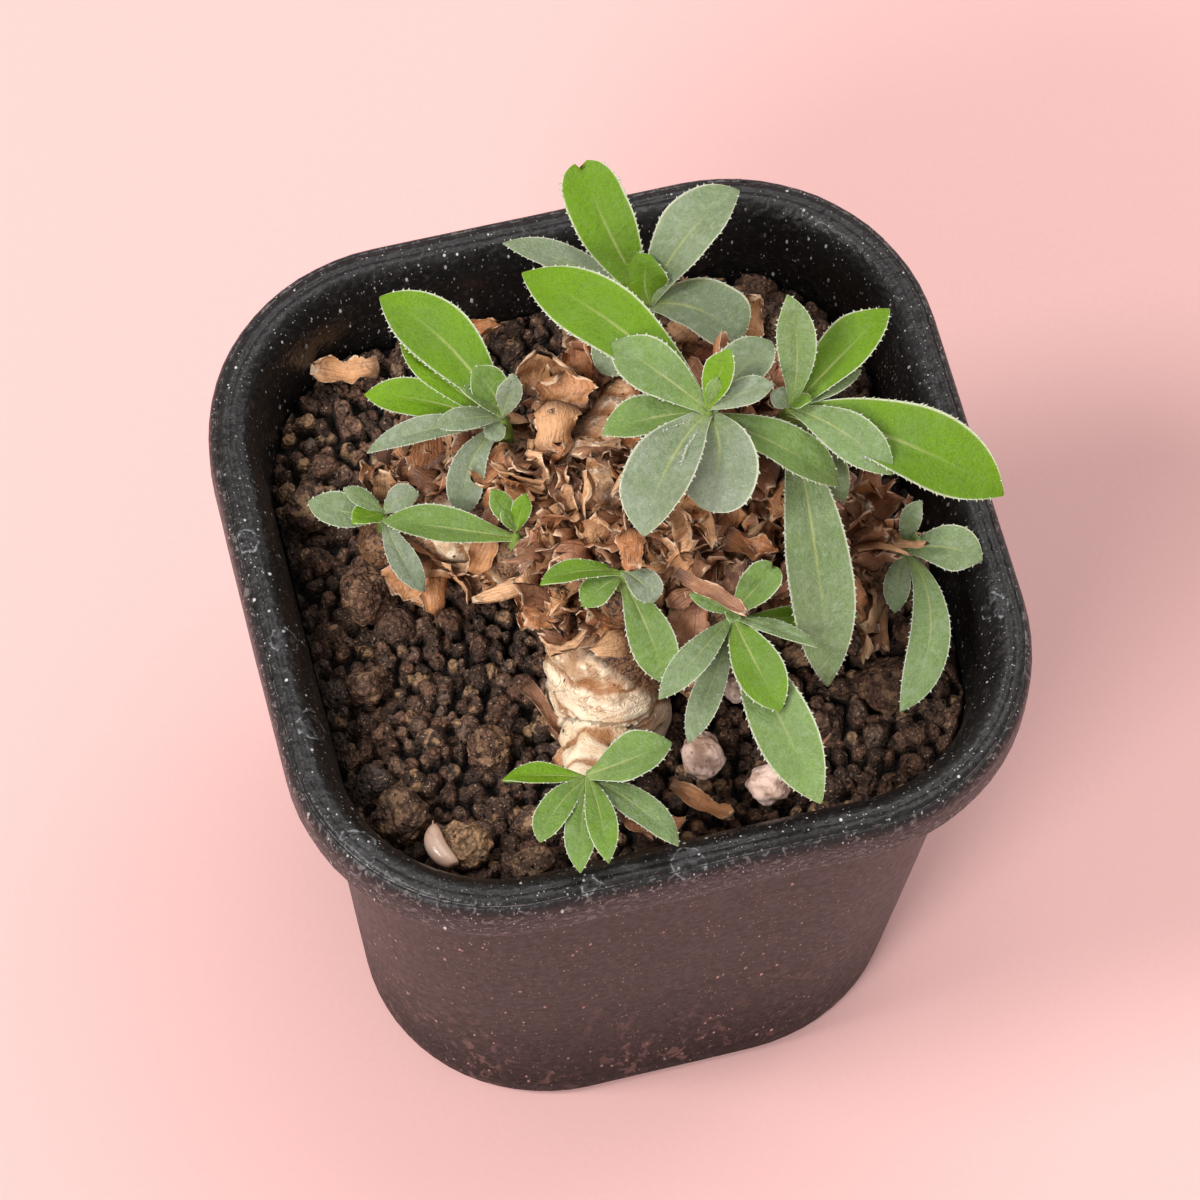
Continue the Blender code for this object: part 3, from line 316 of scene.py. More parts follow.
def turned(first, second, angle):
    """Two square directions turned by an angle in their plane."""
    return np.cos(angle) * first + np.sin(angle) * second, np.cos(angle) * second - np.sin(angle) * first


def squared(vectors, axes):
    """Directions made square to axes."""
    return unit(vectors - axes * np.einsum("nc,nc->n", vectors, axes)[:, None])


def sampled(wanted, places, rows):
    """Rows of values, known at places, at the wanted places between them."""
    return np.stack([np.interp(wanted, places, column) for column in rows.T], axis=1)


def rounded_squares(rows):
    """Rounded squares from rows of (half, corner, height).

    A quarter is its corner's centre plus the radius turned from 0 to 90 degrees, then the straight run to the next
    corner in equal parts; the other quarters are the first one turned.
    """
    half, corner, height = rows.T[..., None]
    turn = np.radians(90 * np.arange(CORNER_STEPS + 1) / CORNER_STEPS)
    share = np.arange(1, SIDE_STEPS) / SIDE_STEPS
    x = np.concatenate([half - corner + corner * np.cos(turn), (half - corner) * (1 - 2 * share)], axis=1)
    y = np.concatenate([half - corner + corner * np.sin(turn), half + 0 * share], axis=1)
    across = np.concatenate([x, -y, -x, y], axis=1)
    along = np.concatenate([y, x, -y, -x], axis=1)
    return np.stack([across, along, np.broadcast_to(height, across.shape)], axis=-1)


def sweep(centres, radii, around, first_side=(0.3, 0.2, 1.0)):
    """A tube's rings: each centre plus its radius times a circle square to the run, with no twist between rings."""
    runs = unit(np.gradient(centres, axis=0))
    side = np.cross(runs[0], first_side)
    turns = circle(around)[:, None]
    rings = []
    for centre, radius, along in zip(centres, radii, runs):
        side = unit(side - along * (side @ along))
        rings.append(centre + radius * (np.cos(turns) * side + np.sin(turns) * np.cross(along, side)))
    return np.array(rings)


def smooth_run(points, count):
    """A run of (x, y, z, radius) sampled evenly along a Catmull-Rom curve through its points."""
    rows = np.asarray(points, float)
    padded = np.vstack([2 * rows[0] - rows[1], rows, 2 * rows[-1] - rows[-2]])
    place = np.linspace(0, len(rows) - 1, count)
    index = np.minimum(place.astype(int), len(rows) - 2)
    t = (place - index)[:, None]
    a, b, c, d = (padded[index + k] for k in range(4))
    return 0.5 * (2 * b + (c - a) * t + (2 * a - 5 * b + 4 * c - d) * t ** 2 + (3 * b - a - 3 * c + d) * t ** 3)


# ---- meshes ----
def tube_faces(rows, around, copies=1):
    """Faces of closed tubes: a quad between each two neighbours of two neighbouring rings, and a cap at each end."""
    row = np.arange(rows - 1)[:, None] * around
    i = np.arange(around)
    j = (i + 1) % around
    quads = np.stack(np.broadcast_arrays(row + i, row + j, row + around + j, row + around + i), axis=-1)
    ends = np.stack([i[::-1], (rows - 1) * around + i])
    return copied(quads.reshape(-1, 4), copies, rows * around) + copied(ends, copies, rows * around)


def grid_faces(count):
    """The quads of a square grid with a count of points along each side."""
    i = (np.arange(count - 1)[:, None] * count + np.arange(count - 1)).ravel()
    return np.stack([i, i + 1, i + count + 1, i + count], axis=1).tolist()


def copied(faces, copies, points_each):
    """A shape's faces for each of its copies, whose points follow one another."""
    return (faces[None] + (np.arange(copies) * points_each)[:, None, None]).reshape(-1, faces.shape[1]).tolist()


def gather(parts):
    """The points and the faces of several shapes as one."""
    points, faces, start = [], [], 0
    for places, corners in parts:
        points.append(np.reshape(places, (-1, 3)))
        faces += [[i + start for i in face] for face in corners]
        start += len(points[-1])
    return np.vstack(points), faces


def ball():
    """The points of a ball of radius 1 and its faces."""
    shape = bmesh.new()
    bmesh.ops.create_icosphere(shape, subdivisions=5, radius=1.0)
    points = np.array([v.co for v in shape.verts])
    faces = np.array([[v.index for v in face.verts] for face in shape.faces])
    shape.free()
    return points, faces


def put_mark(mesh, name, values):
    """Three values for each point of a mesh, for its material to read."""
    mesh.attributes.new(name, "FLOAT_VECTOR", "POINT").data.foreach_set("vector", np.ravel(values).astype(np.float32))


def put_mesh(name, points, faces, material, mark="", values=()):
    """An object at the origin from points in millimetres, with the values that its material reads under a mark."""
    mesh = bpy.data.meshes.new(name)
    mesh.from_pydata((np.reshape(points, (-1, 3)) * MM).tolist(), [], faces)
    if mark:
        put_mark(mesh, mark, values)
    mesh.materials.append(material)
    mesh.shade_smooth()
    item = bpy.data.objects.new(name, mesh)
    bpy.context.scene.collection.objects.link(item)
    return item


def read_rows(values, key):
    """Three values for each point of a mesh, as rows."""
    rows = np.empty(3 * len(values))
    values.foreach_get(key, rows)
    return rows.reshape(-1, 3)


def node_box(name):
    """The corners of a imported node's box, in millimetres."""
    return (np.array(corner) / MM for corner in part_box(name))


def stand_for(item, slot, *nodes):
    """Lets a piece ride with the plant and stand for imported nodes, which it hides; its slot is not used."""
    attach(item, BODY)
    if nodes:
        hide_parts(*nodes)


# ---- materials ----
class Paint:
    """A material in the making: its Principled shader, the nodes that feed it, and its colour and relief so far."""

    def __init__(self, name, sockets):
        self.material = bpy.data.materials.new(name)
        self.material.use_nodes = True
        self.tree = self.material.node_tree
        self.shader = self.tree.nodes["Principled BSDF"]
        self.place = self.add("ShaderNodeTexCoord").outputs["Object"]
        self.colour = None
        self.relief = None
        self.set(self.shader, sockets)

    def set(self, node, sockets):
        """Gives sockets their values, or links them to other nodes."""
        for key, value in sockets.items():
            if isinstance(value, bpy.types.NodeSocket):
                self.tree.links.new(value, node.inputs[key])
            else:
                node.inputs[key].default_value = value

    def add(self, kind, sockets=None, **settings):
        """A new node with its settings and sockets."""
        node = self.tree.nodes.new(kind)
        for key, value in settings.items():
            setattr(node, key, value)
        self.set(node, sockets or {})
        return node

    def mark(self, name):
        """The three values that a mesh holds at its points under a name."""
        node = self.add("ShaderNodeAttribute", attribute_name=name)
        return self.add("ShaderNodeSeparateXYZ", {0: node.outputs["Vector"]}).outputs

    def height(self):
        """Millimetres above the pot's base."""
        return self.scaled(self.add("ShaderNodeSeparateXYZ", {0: self.place}).outputs[2], 1 / MM)

    def stretched(self, *scale):
        """Places scaled apart on each axis, for a pattern that runs along something."""
        return self.add("ShaderNodeMapping", {"Vector": self.place, "Scale": scale}).outputs[0]

    def vectors(self, operation, *values):
        """One step of arithmetic with vectors."""
        return self.add("ShaderNodeVectorMath", dict(enumerate(values)), operation=operation).outputs

    def away(self, point, place=None):
        """Millimetres between a place and a point."""
        return self.scaled(self.vectors("DISTANCE", place or self.place, shade(point, MM))["Value"], 1 / MM)

    def noise(self, pitch, detail=2.0, distortion=0.0, place=None, output=0):
        """Soft chance values from 0 to 1 in patches about a pitch of millimetres across."""
        sockets = {"Vector": place or self.place, "Scale": 1 / (pitch * MM), "Detail": detail,
                   "Distortion": distortion}
        return self.add("ShaderNodeTexNoise", sockets).outputs[output]

    def patches(self, pitch, low, high, detail=2.0, distortion=0.0, place=None, least=0.0, most=1.0):
        """A noise eased from least, where it is low, to most, where it is high."""
        return self.between(self.noise(pitch, detail, distortion, place), low, high, least, most)

    def lines(self, *noise):
        """How far a noise is from its middle, which is near 0 along thin winding lines."""
        return self.step("ABSOLUTE", self.less(self.noise(*noise), 0.5))

    def cells(self, pitch, place=None):
        """Distances from drawn points a pitch apart, and two chance values for each point."""
        node = self.add("ShaderNodeTexVoronoi", {"Vector": place or self.place, "Scale": 1 / (pitch * MM)})
        chance = self.add("ShaderNodeSeparateColor", {0: node.outputs["Color"]})
        return node.outputs["Distance"], chance.outputs[0], chance.outputs[1]

    def pits(self, pitch, reach=(0.34, 0.14), share=(0.45, 0.60), place=None):
        """Round pits at some of the drawn points."""
        far, chance, _ = self.cells(pitch, place)
        return self.times(self.between(far, *reach), self.between(chance, *share))

    def between(self, value, low, high, to_low=0.0, to_high=1.0):
        """A value eased from one number at low to another at high."""
        sockets = {"Value": value, "From Min": low, "From Max": high, "To Min": to_low, "To Max": to_high}
        return self.add("ShaderNodeMapRange", sockets, interpolation_type="SMOOTHSTEP").outputs[0]

    def step(self, operation, *values):
        """One step of arithmetic."""
        return self.add("ShaderNodeMath", dict(enumerate(values)), operation=operation).outputs[0]

    def scaled(self, value, factor, more=0.0):
        """A value times a factor, and more."""
        return self.step("MULTIPLY_ADD", value, factor, more)

    def less(self, first, second):
        """The first value less the second."""
        return self.step("SUBTRACT", first, second)

    def times(self, first, *others):
        """The product of values."""
        for other in others:
            first = self.step("MULTIPLY", first, other)
        return first

    def mix(self, share, first, second):
        """A colour between two."""
        sockets = {0: share, 6: colour_of(first), 7: colour_of(second)}
        return self.add("ShaderNodeMix", sockets, data_type="RGBA").outputs[2]

    def ramp(self, value, stops):
        """A colour picked along stops of (place, colour)."""
        node = self.add("ShaderNodeValToRGB", {0: value})
        elements = node.color_ramp.elements
        elements[0].position, elements[-1].position = stops[0][0], stops[-1][0]
        for place, _ in stops[1:-1]:
            elements.new(place)
        for element, (_, colour) in zip(elements, stops):
            element.color = colour_of(colour)
        return node.outputs[0]

    def lay(self, share, colour):
        """Covers a share of the colour so far with another."""
        self.colour = self.mix(share, self.colour, colour)

    def bump(self, height, depth):
        """Raises the surface by up to a depth in millimetres, on top of the relief so far."""
        sockets = {"Height": height, "Distance": depth * MM, "Strength": 1.0}
        if self.relief:
            sockets["Normal"] = self.relief
        self.relief = self.add("ShaderNodeBump", sockets).outputs[0]

    def finish(self):
        """The material, with its colour and its relief in place."""
        self.set(self.shader, {"Base Color": self.colour})
        if self.relief:
            self.set(self.shader, {"Normal": self.relief})
        return self.material


def colour_of(value):
    """A colour with its alpha, or a socket as it is."""
    return value if isinstance(value, bpy.types.NodeSocket) else (*value[:3], 1.0)


def shade(colour, factor):
    """A colour, or a point, times a factor."""
    return [c * factor for c in colour]


def blend(first, second):
    """Six tenths of one colour and four tenths of another."""
    return [0.6 * a + 0.4 * b for a, b in zip(first, second)]


def looks():
    """The settings that a user may change."""
    return bpy.context.scene.othonna


def leaf_paint():
    """Velvety leaf: green to glaucous by each leaf's tone, a pale midrib and margin, fine curled hairs, and painted
    shade down the middle of the blade.
    """
    own = looks().leaves
    paint = Paint("velvety leaf", {"Roughness": 0.48, "Sheen Roughness": 0.35, "Sheen Tint": (0.95, 1.0, 0.9, 1),
                                   "Specular IOR Level": 0.15, "Subsurface Weight": own.glow,
                                   "Subsurface Scale": 0.0009, "Subsurface Radius": (0.8, 1.0, 0.12)})
    across, along, tone = paint.mark("leaf_place")
    edge = paint.step("ABSOLUTE", across)
    young, old = own.young_colour, own.old_colour
    middle = blend(young, old)
    patch = paint.noise(3.4, 3.0, 0.4)
    older = paint.between(tone, 0.0, 0.45, 0.35, 1.0)
    paint.colour = paint.ramp(paint.scaled(patch, 0.20, paint.less(tone, 0.10)), (
        (0.0, young), (0.25, shade(young, 0.84)), (0.55, middle), (0.92, old)))
    paint.lay(paint.times(paint.patches(6.0, 0.40, 0.66), older, 0.36), shade(middle, 0.60))
    # painted shade: darker down the middle of the blade, more on older leaves
    centre = paint.times(paint.between(edge, 0.75, 0.1), paint.between(along, 0.95, 0.3), older, 0.22)
    paint.lay(centre, shade(middle, 0.70))
    base = paint.times(paint.between(along, 0.34, 0.0), paint.between(edge, 1.0, 0.2, 0.25, 0.6))
    paint.lay(base, blend(young, own.rib_colour))
    hair = paint.times(paint.between(paint.lines(0.50, 1.0, 2.4), 0.045, 0.010),
                       paint.between(tone, 0.05, 0.9, 0.08, 0.40))
    paint.lay(hair, own.down_colour)
    cloudy = paint.times(paint.patches(1.1, 0.46, 0.70, 3.0, 0.3), paint.between(tone, 0.1, 0.9, 0.02, 0.22))
    paint.lay(cloudy, own.down_colour)
    emboss = paint.noise(0.42, 2.0, 0.8)
    paint.lay(paint.between(emboss, 0.50, 0.36, 0.0, 0.22), shade(middle, 0.4))
    rib = paint.between(paint.less(edge, paint.scaled(along, -0.06, 0.075)), 0.035, -0.04)
    rib = paint.times(rib, paint.between(along, 0.90, 0.35), 0.6)
    paint.lay(rib, own.rib_colour)
    paint.lay(paint.between(edge, 0.915, 0.985, 0.0, 0.75), own.edge_colour)
    *spot, reach = BLEMISH
    scar = paint.times(paint.between(paint.away(spot), reach, 0.2), paint.patches(0.45, 0.42, 0.56, 4.0, 0.6))
    paint.lay(scar, own.scar_colour)
    paint.bump(paint.scaled(hair, 0.55, paint.scaled(rib, -1.0)), 0.07)
    paint.bump(emboss, 0.15)
    paint.bump(patch, 0.40)
    paint.set(paint.shader, {"Sheen Weight": paint.between(tone, 0.2, 0.9, 0.0, own.down * 0.12)})
    return paint.finish()


def pot_paint():
    """Near-black moulded plastic: drawn-out pale specks, pits, dried water rings, a rough outer edge, dust low down,
    painted shade along the groove and a painted highlight on its lips.
    """
    own = looks().pot
    paint = Paint("speckled plastic", {})
    wall, groove, band = paint.mark("pot_place")
    height = paint.height()
    flat = paint.stretched(1.0, 1.0, 0.45)
    drawn = paint.stretched(1.0, 1.0, 0.42)
    paint.colour = paint.mix(wall, own.colour, own.wall_colour)
    paint.lay(paint.patches(9.0, 0.35, 0.75, 3.0, 0.6, most=0.5), shade(own.colour, 0.4))
    dust = paint.times(paint.patches(1.5, 0.52, 0.64, 4.0, 0.5, flat), paint.patches(9.0, 0.42, 0.60, 2.0, 0.3, flat),
                       paint.between(height, 46.0, 6.0), wall, 0.55)
    paint.lay(dust, own.dust_colour)
    specks = 0.0
    for pitch, least, share in SPECKS:
        far, chance, size = paint.cells(own.speck_pitch * pitch, drawn)
        far = paint.less(far, paint.scaled(size, 0.10, least))
        speck = paint.times(paint.between(far, 0.03, -0.02), paint.between(chance, share, share + 0.06),
                            0.45 + 0.45 * pitch)
        specks = paint.step("MAXIMUM", speck, specks)
    strength = paint.times(specks, paint.scaled(wall, -0.10, 0.92), paint.patches(5.0, 0.35, 0.62, least=0.35))
    paint.lay(strength, paint.mix(wall, own.speck_colour, own.wall_speck_colour))
    paint.lay(paint.times(paint.pits(2.1, (0.09, 0.05), (0.35, 0.40), flat), wall), POT_PIT_AND_GROOVE_SHADE)
    waves = paint.noise(RING_WAVES, 4.0, output="Color")
    bent = paint.vectors("MULTIPLY_ADD", waves, (RING_BEND * MM,) * 3, paint.place)[0]
    rings = 0.0
    for *middle, reach in RING_MARKS:
        far = paint.away([c + RING_BEND / 2 for c in middle], bent)
        line = paint.between(paint.step("ABSOLUTE", paint.less(far, reach)), 0.20, 0.03)
        ring = paint.scaled(paint.between(far, reach + 0.1, reach - 0.3), 0.16, line)
        rings = paint.step("MAXIMUM", ring, rings)
    rings = paint.times(rings, paint.patches(0.8, 0.42, 0.62, 3.0), 0.60)
    paint.lay(rings, own.ring_colour)
    scratch = paint.noise(0.8, 4.0, 0.8)
    paint.lay(paint.times(paint.between(scratch, 0.54, 0.66), paint.scaled(band, 0.55, 0.10)), own.scuff_and_highlight_colour)
    # painted highlight: a thin bright line along both lips of the groove, broken up by noise
    edge = paint.times(paint.between(groove, 0.03, 0.25), paint.between(groove, 0.75, 0.45),
                       paint.between(scratch, 0.40, 0.60), 0.6)
    paint.lay(edge, own.scuff_and_highlight_colour)
    # painted shade: black along the groove
    paint.lay(paint.between(groove, 0.45, 0.85), POT_PIT_AND_GROOVE_SHADE)
    rough = paint.scaled(band, 0.12, paint.scaled(wall, 0.08, paint.scaled(paint.noise(0.9), 0.30, 0.20)))
    rough = paint.step("MAXIMUM", rough, paint.times(paint.step("MAXIMUM", rings, specks), 0.75))
    gloss = paint.scaled(paint.times(wall, paint.between(height, 48.0, 2.0)), -0.22, 0.40)
    gloss = paint.scaled(wall, -0.14, gloss)
    calm = paint.scaled(wall, -0.93, 1.0)
    paint.bump(paint.times(paint.noise(3.0), calm), 0.26)
    paint.bump(paint.times(paint.noise(0.75, 3.0), paint.scaled(band, 0.5, calm)), 0.15)
    paint.bump(specks, 0.07)
    paint.bump(rings, 0.10)
    paint.set(paint.shader, {"Roughness": rough, "Specular IOR Level": gloss})
    return paint.finish()


def grit_paint():
    """Baked lava grit: dark knobbly browns with some tan and grey grains, pitted, pale crumbs with painted glints on
    top, and painted shade between the knobs, in the pits and black in the gaps.
    """
    own = looks().soil
    paint = Paint("lava grit", {"Roughness": 0.74, "Specular IOR Level": 0.35})
    tone, wear, depth = paint.mark("grain")
    dark, light = own.colour, own.light_colour
    paint.colour = paint.ramp(tone, ((0.0, shade(dark, 0.5)), (0.30, dark), (0.50, own.red_colour),
                                     (0.68, shade(dark, 2.0)), (0.84, own.grey_colour), (0.96, light)))
    paint.lay(paint.patches(1.3, 0.40, 0.66, 4.0, 0.4, most=0.55), shade(dark, 0.30))
    knob = paint.cells(0.62, paint.stretched(1.0, 1.0, 1.3))[0]
    # painted shade in the creases between the knobs
    paint.lay(paint.between(knob, 0.42, 0.72, 0.0, 0.6), shade(dark, 0.18))
    pit = paint.pits(0.9)
    # painted shade: black in the pits that the bump presses in
    paint.lay(paint.times(pit, 0.8), PIT_SHADE_BLACK)
    # pale crumbs, partly painted glints: small bright points on the grains
    paint.lay(paint.patches(0.30, 0.62, 0.68, 3.0, most=0.8), own.crumb_and_glint_colour)
    paint.lay(paint.times(paint.patches(1.8, 0.5, 0.60, 3.0), wear, 0.8), light)
    # painted shade: black in the gaps and seams between the grains, by the walls and on the soil's sides
    paint.lay(depth, GAP_SHADE_BLACK)
    paint.bump(paint.scaled(pit, -0.8, paint.noise(0.7, 4.0, 0.3)), 0.46)
    paint.bump(knob, -0.26)
    return paint.finish()


def bark_paint():
    """Pale folded bark: orange-brown painted shade in its creases, orange brown in its cracks, combed across its run,
    brown painted shade under the dead leaves.
    """
    own = looks().bark
    paint = Paint("folded bark", {"Roughness": 0.50, "Specular IOR Level": 0.4, "Subsurface Weight": 0.08,
                                  "Subsurface Scale": 0.0008, "Subsurface Radius": (1.0, 0.6, 0.3)})
    crease, wrapped_shade, run = paint.mark("bark_place")
    height = paint.height()
    hub = paint.between(height, 97.0, 101.0)
    paint.colour = paint.mix(hub, own.colour, own.hub_colour)
    paint.lay(paint.patches(3.6, 0.50, 0.64, 4.0, 1.0, most=0.6), own.stain_colour)
    high = paint.between(height, 89.5, 95.5, 0.0, 0.72)
    paint.lay(paint.times(high, paint.patches(1.8, 0.36, 0.56, 3.0)), own.crease_shade_and_fibre_colour)
    along = paint.add("ShaderNodeCombineXYZ", {0: run}).outputs[0]
    comb = paint.noise(0.50, 3.0, 0.25, paint.vectors("ADD", paint.stretched(0.10, 0.10, 0.10), along)[0])
    paint.lay(paint.between(comb, 0.50, 0.66, 0.0, 0.50), own.stain_colour)
    # painted shade: orange brown in the fold creases
    paint.lay(paint.between(crease, 0.15, 0.80, 0.0, 0.92), own.crease_shade_and_fibre_colour)
    crack = paint.times(paint.between(paint.lines(2.2, 4.0, 1.4), 0.020, 0.005),
                        paint.patches(3.0, 0.42, 0.56, 1.0))
    paint.lay(paint.times(crack, 0.4), own.crease_shade_and_fibre_colour)
    far, chance, size = paint.cells(1.3)
    pore = paint.times(paint.between(paint.less(far, paint.scaled(size, 0.15, 0.07)), 0.04, -0.03),
                       paint.between(paint.scaled(hub, 0.34, chance), 0.76, 0.82))
    paint.lay(paint.times(pore, 0.9), own.pore_colour)
    fibre = paint.patches(0.8, 0.40, 0.62, 3.0, 2.0)
    # painted shade on the bark under the dead leaves: brown, with dark fibres
    paint.lay(wrapped_shade, paint.mix(fibre, own.under_leaves_shade_colour, own.pore_colour))
    relief = paint.scaled(pore, -0.9, paint.noise(0.55, 3.0, 1.0))
    paint.bump(paint.scaled(comb, -0.8, paint.scaled(crack, -0.35, relief)), 0.26)
    return paint.finish()


def papery_paint():
    """Dry papery leaf: tan to red brown by each leaf's tone, ribbed along its length, dark spots, pale torn edges that
    are partly a painted highlight, and painted shade at its root.
    """
    own = looks().dead
    paint = Paint("papery dead leaf", {"Roughness": 0.42, "Specular IOR Level": 0.45})
    across, along, tone = paint.mark("flake_place")
    paint.colour = paint.ramp(tone, ((0.0, own.dark_colour), (0.18, own.colour), (0.42, own.grey_colour),
                                     (0.60, own.red_colour), (0.82, own.tan_colour), (1.0, own.pale_colour)))
    ribbed = {0: paint.scaled(across, 4.0 * MM), 1: paint.scaled(along, 1.2 * MM), 2: paint.scaled(tone, 90 * MM)}
    rib = paint.noise(0.42, 3.0, 0.4, paint.add("ShaderNodeCombineXYZ", ribbed).outputs[0])
    paint.lay(paint.between(rib, 0.48, 0.66, 0.0, 0.46), shade(own.colour, 0.30))
    paint.lay(paint.patches(1.2, 0.52, 0.68, 4.0, 0.8, most=0.46), own.dark_colour)
    paint.lay(paint.patches(1.4, 0.56, 0.68, 3.0, 0.5, most=0.36), own.pale_colour)
    # pale torn edges, partly a painted highlight
    rim = paint.step("MAXIMUM", paint.between(paint.step("ABSOLUTE", across), 0.90, 0.99),
                     paint.between(along, 0.95, 1.0))
    paint.lay(paint.times(rim, paint.patches(1.1, 0.32, 0.52), 0.9), own.rim_and_highlight_colour)
    # painted shade: dark at the root, where the flake tucks in among the others
    paint.lay(paint.between(along, 0.30, 0.0, 0.0, 0.75), shade(own.dark_colour, 0.35))
    paint.bump(paint.scaled(rib, 0.9, paint.scaled(paint.noise(0.5, 3.0, 0.8), 0.8)), 0.20)
    return paint.finish()


def pumice_paint():
    """Chalky pumice: pinkish white, stained in patches, with brown painted shade in its pits and between its lumps."""
    own = looks().stones
    paint = Paint("chalky pumice", {"Roughness": 0.92, "Specular IOR Level": 0.25, "Subsurface Weight": 0.1,
                                    "Subsurface Scale": 0.001})
    paint.colour = paint.mix(paint.patches(1.6, 0.46, 0.68, 3.0, 0.7, most=0.75), own.colour, own.stain_colour)
    # painted shade: brown between the lumps, read from the first mark
    paint.lay(paint.between(paint.mark("grain")[0], 0.15, 0.85, 0.0, 0.75), own.pit_shade_and_patch_colour)
    pit = paint.pits(0.8)
    # painted shade: brown in the pits that the bump presses in
    paint.lay(paint.times(pit, 0.5), own.pit_shade_and_patch_colour)
    paint.bump(paint.scaled(pit, -0.7, paint.noise(0.7, 3.0)), 0.25)
    return paint.finish()


def husk_paint():
    """Polished husk: cream, browner in patches, at its lips and at its ends."""
    own = looks().stones
    paint = Paint("pale husk", {"Roughness": 0.28, "Specular IOR Level": 0.55, "Coat Weight": 0.2,
                                "Subsurface Weight": 0.15, "Subsurface Scale": 0.001})
    across, along, _ = paint.mark("husk_place")
    paint.colour = paint.mix(paint.patches(1.8, 0.42, 0.68, 3.0, 0.8, most=0.55), own.husk_colour, own.pit_shade_and_patch_colour)
    paint.lay(paint.between(across, 0.72, 0.98, 0.0, 0.8), own.stain_colour)
    off = paint.step("ABSOLUTE", paint.less(along, 0.5))
    paint.lay(paint.between(off, 0.36, 0.5, 0.0, 0.6), own.stain_colour)
    paint.bump(paint.noise(0.7, 3.0), 0.06)
    return paint.finish()


def floor_paint():
    """Matt pale paper with the faintest mottling."""
    own = looks().stage
    paint = Paint("pale paper", {"Roughness": 0.8, "Specular IOR Level": 0.15})
    paint.colour = paint.mix(paint.patches(0.8, 0.3, 0.7, 1.0), own.floor_colour, shade(own.floor_colour, 0.985))
    return paint.finish()


# ---- the pot ----
def pot_points():
    """The pot's rings and each ring's marks: outer wall, groove and outer band.

    The profile, cut into short steps, is carried round the rounded square, and moved inwards by up to a fifth of a
    millimetre.
    """
    rows = np.array(POT_PROFILE)
    gaps = np.linalg.norm(np.diff(rows[:, [0, 2]], axis=0), axis=1)
    place = np.concatenate([[0], np.cumsum(gaps)])
    extra = [np.linspace(a, b, int(gap // PROFILE_STEP) + 2)[:-1] for a, b, gap in zip(place, place[1:], gaps)]
    wanted = np.concatenate(extra + [place[-1:]])
    fine = sampled(wanted, place, rows)
    row = np.arange(len(rows))
    kinds = np.stack([row < WALL_ROWS, row == GROOVE_ROW, (row > WALL_ROWS + 2) & (row < GROOVE_ROW)], axis=1)
    rings = rounded_squares(fine)
    soft = rings * (1, 1, 0.5)
    sway = 0.12 * wander(soft, 34.0, 3) + 0.05 * wander(soft, 9.0, 4)
    rings[..., :2] *= (1 + np.clip(sway, -0.2, 0.0) / fine[:, :1])[..., None]
    return rings, sampled(wanted, place, kinds.astype(float))


def drained_floor(outline):
    """The edges of the drain holes, and the triangles of the plate between them and the wall's outline."""
    around = len(outline)
    sides = (-DRAIN_OFFSET, DRAIN_OFFSET)
    places = np.array([(0.0, 0.0)] + [(x, y) for x in sides for y in sides])
    turns = circle(DRAIN_STEPS)
    hole = np.stack([np.cos(turns), np.sin(turns)], axis=1) * DRAIN_RADIUS
    holes = (places[:, None] + hole).reshape(-1, 2)
    flat = np.vstack([outline, holes])
    loops = [np.arange(around)] + [around + DRAIN_STEPS * k + np.arange(DRAIN_STEPS) for k in range(len(places))]
    edges = np.vstack([np.stack([loop, np.roll(loop, -1)], axis=1) for loop in loops])
    found = geometry.delaunay_2d_cdt([Vector(p) for p in flat], edges.tolist(), [], 0, 1e-6)
    sources = np.array([rows[0] for rows in found[3]])
    plate = sources[np.array(found[2])]
    middles = flat[plate].mean(axis=1)
    kept = (np.linalg.norm(middles[:, None] - places, axis=2) > DRAIN_RADIUS).all(axis=1)
    return holes, plate[kept]


def build_pot():
    """The pot: a thin folded shell, its floor once for each face, and the walls of its round drain holes."""
    rings, marks = pot_points()
    rows, around = rings.shape[:2]
    holes, plate = drained_floor(rings[0, :, :2])
    count, base = len(holes), rows * around
    lower, upper = (np.column_stack([holes, np.full(count, rings[row, 0, 2])]) for row in (0, -1))
    points = np.concatenate([rings.reshape(-1, 3), lower, upper])
    under = np.where(plate < around, plate, plate - around + base)
    above = np.where(plate < around, plate - around + base, plate - around + base + count)
    k = np.arange(count)
    after = k // DRAIN_STEPS * DRAIN_STEPS + (k + 1) % DRAIN_STEPS
    walls = base + np.stack([k, count + k, count + after, after], axis=1)
    faces = tube_faces(rows, around)[:-2] + under[:, ::-1].tolist() + above.tolist() + walls.tolist()
    marks = np.vstack([np.repeat(marks, around, axis=0), np.tile((1.0, 0, 0), (count, 1)), np.zeros((count, 3))])
    stand_for(put_mesh("pot_shell", points, faces, pot_paint(), "pot_place", marks), "pot", "pot")


# ---- the soil ----
def folded(turns):
    """Directions folded into an eighth of a turn: 0 along a square's side, pi over 4 at its corner."""
    return np.abs((turns + math.pi / 4) % (math.pi / 2) - math.pi / 4)


def outline_reach(turns, half, corner):
    """How far a rounded square reaches from its centre in given directions.

    Folded into one eighth, a direction meets the straight side at half over its cosine, or else the corner's circle.
    """
    fold = folded(turns)
    straight = half / np.cos(fold)
    middle = (half - corner) * math.sqrt(2)
    off = math.pi / 4 - fold
    bent = middle * np.cos(off) + np.sqrt(np.maximum(corner ** 2 - (middle * np.sin(off)) ** 2, 0))
    return np.where(straight * np.sin(fold) <= half - corner, straight, bent)


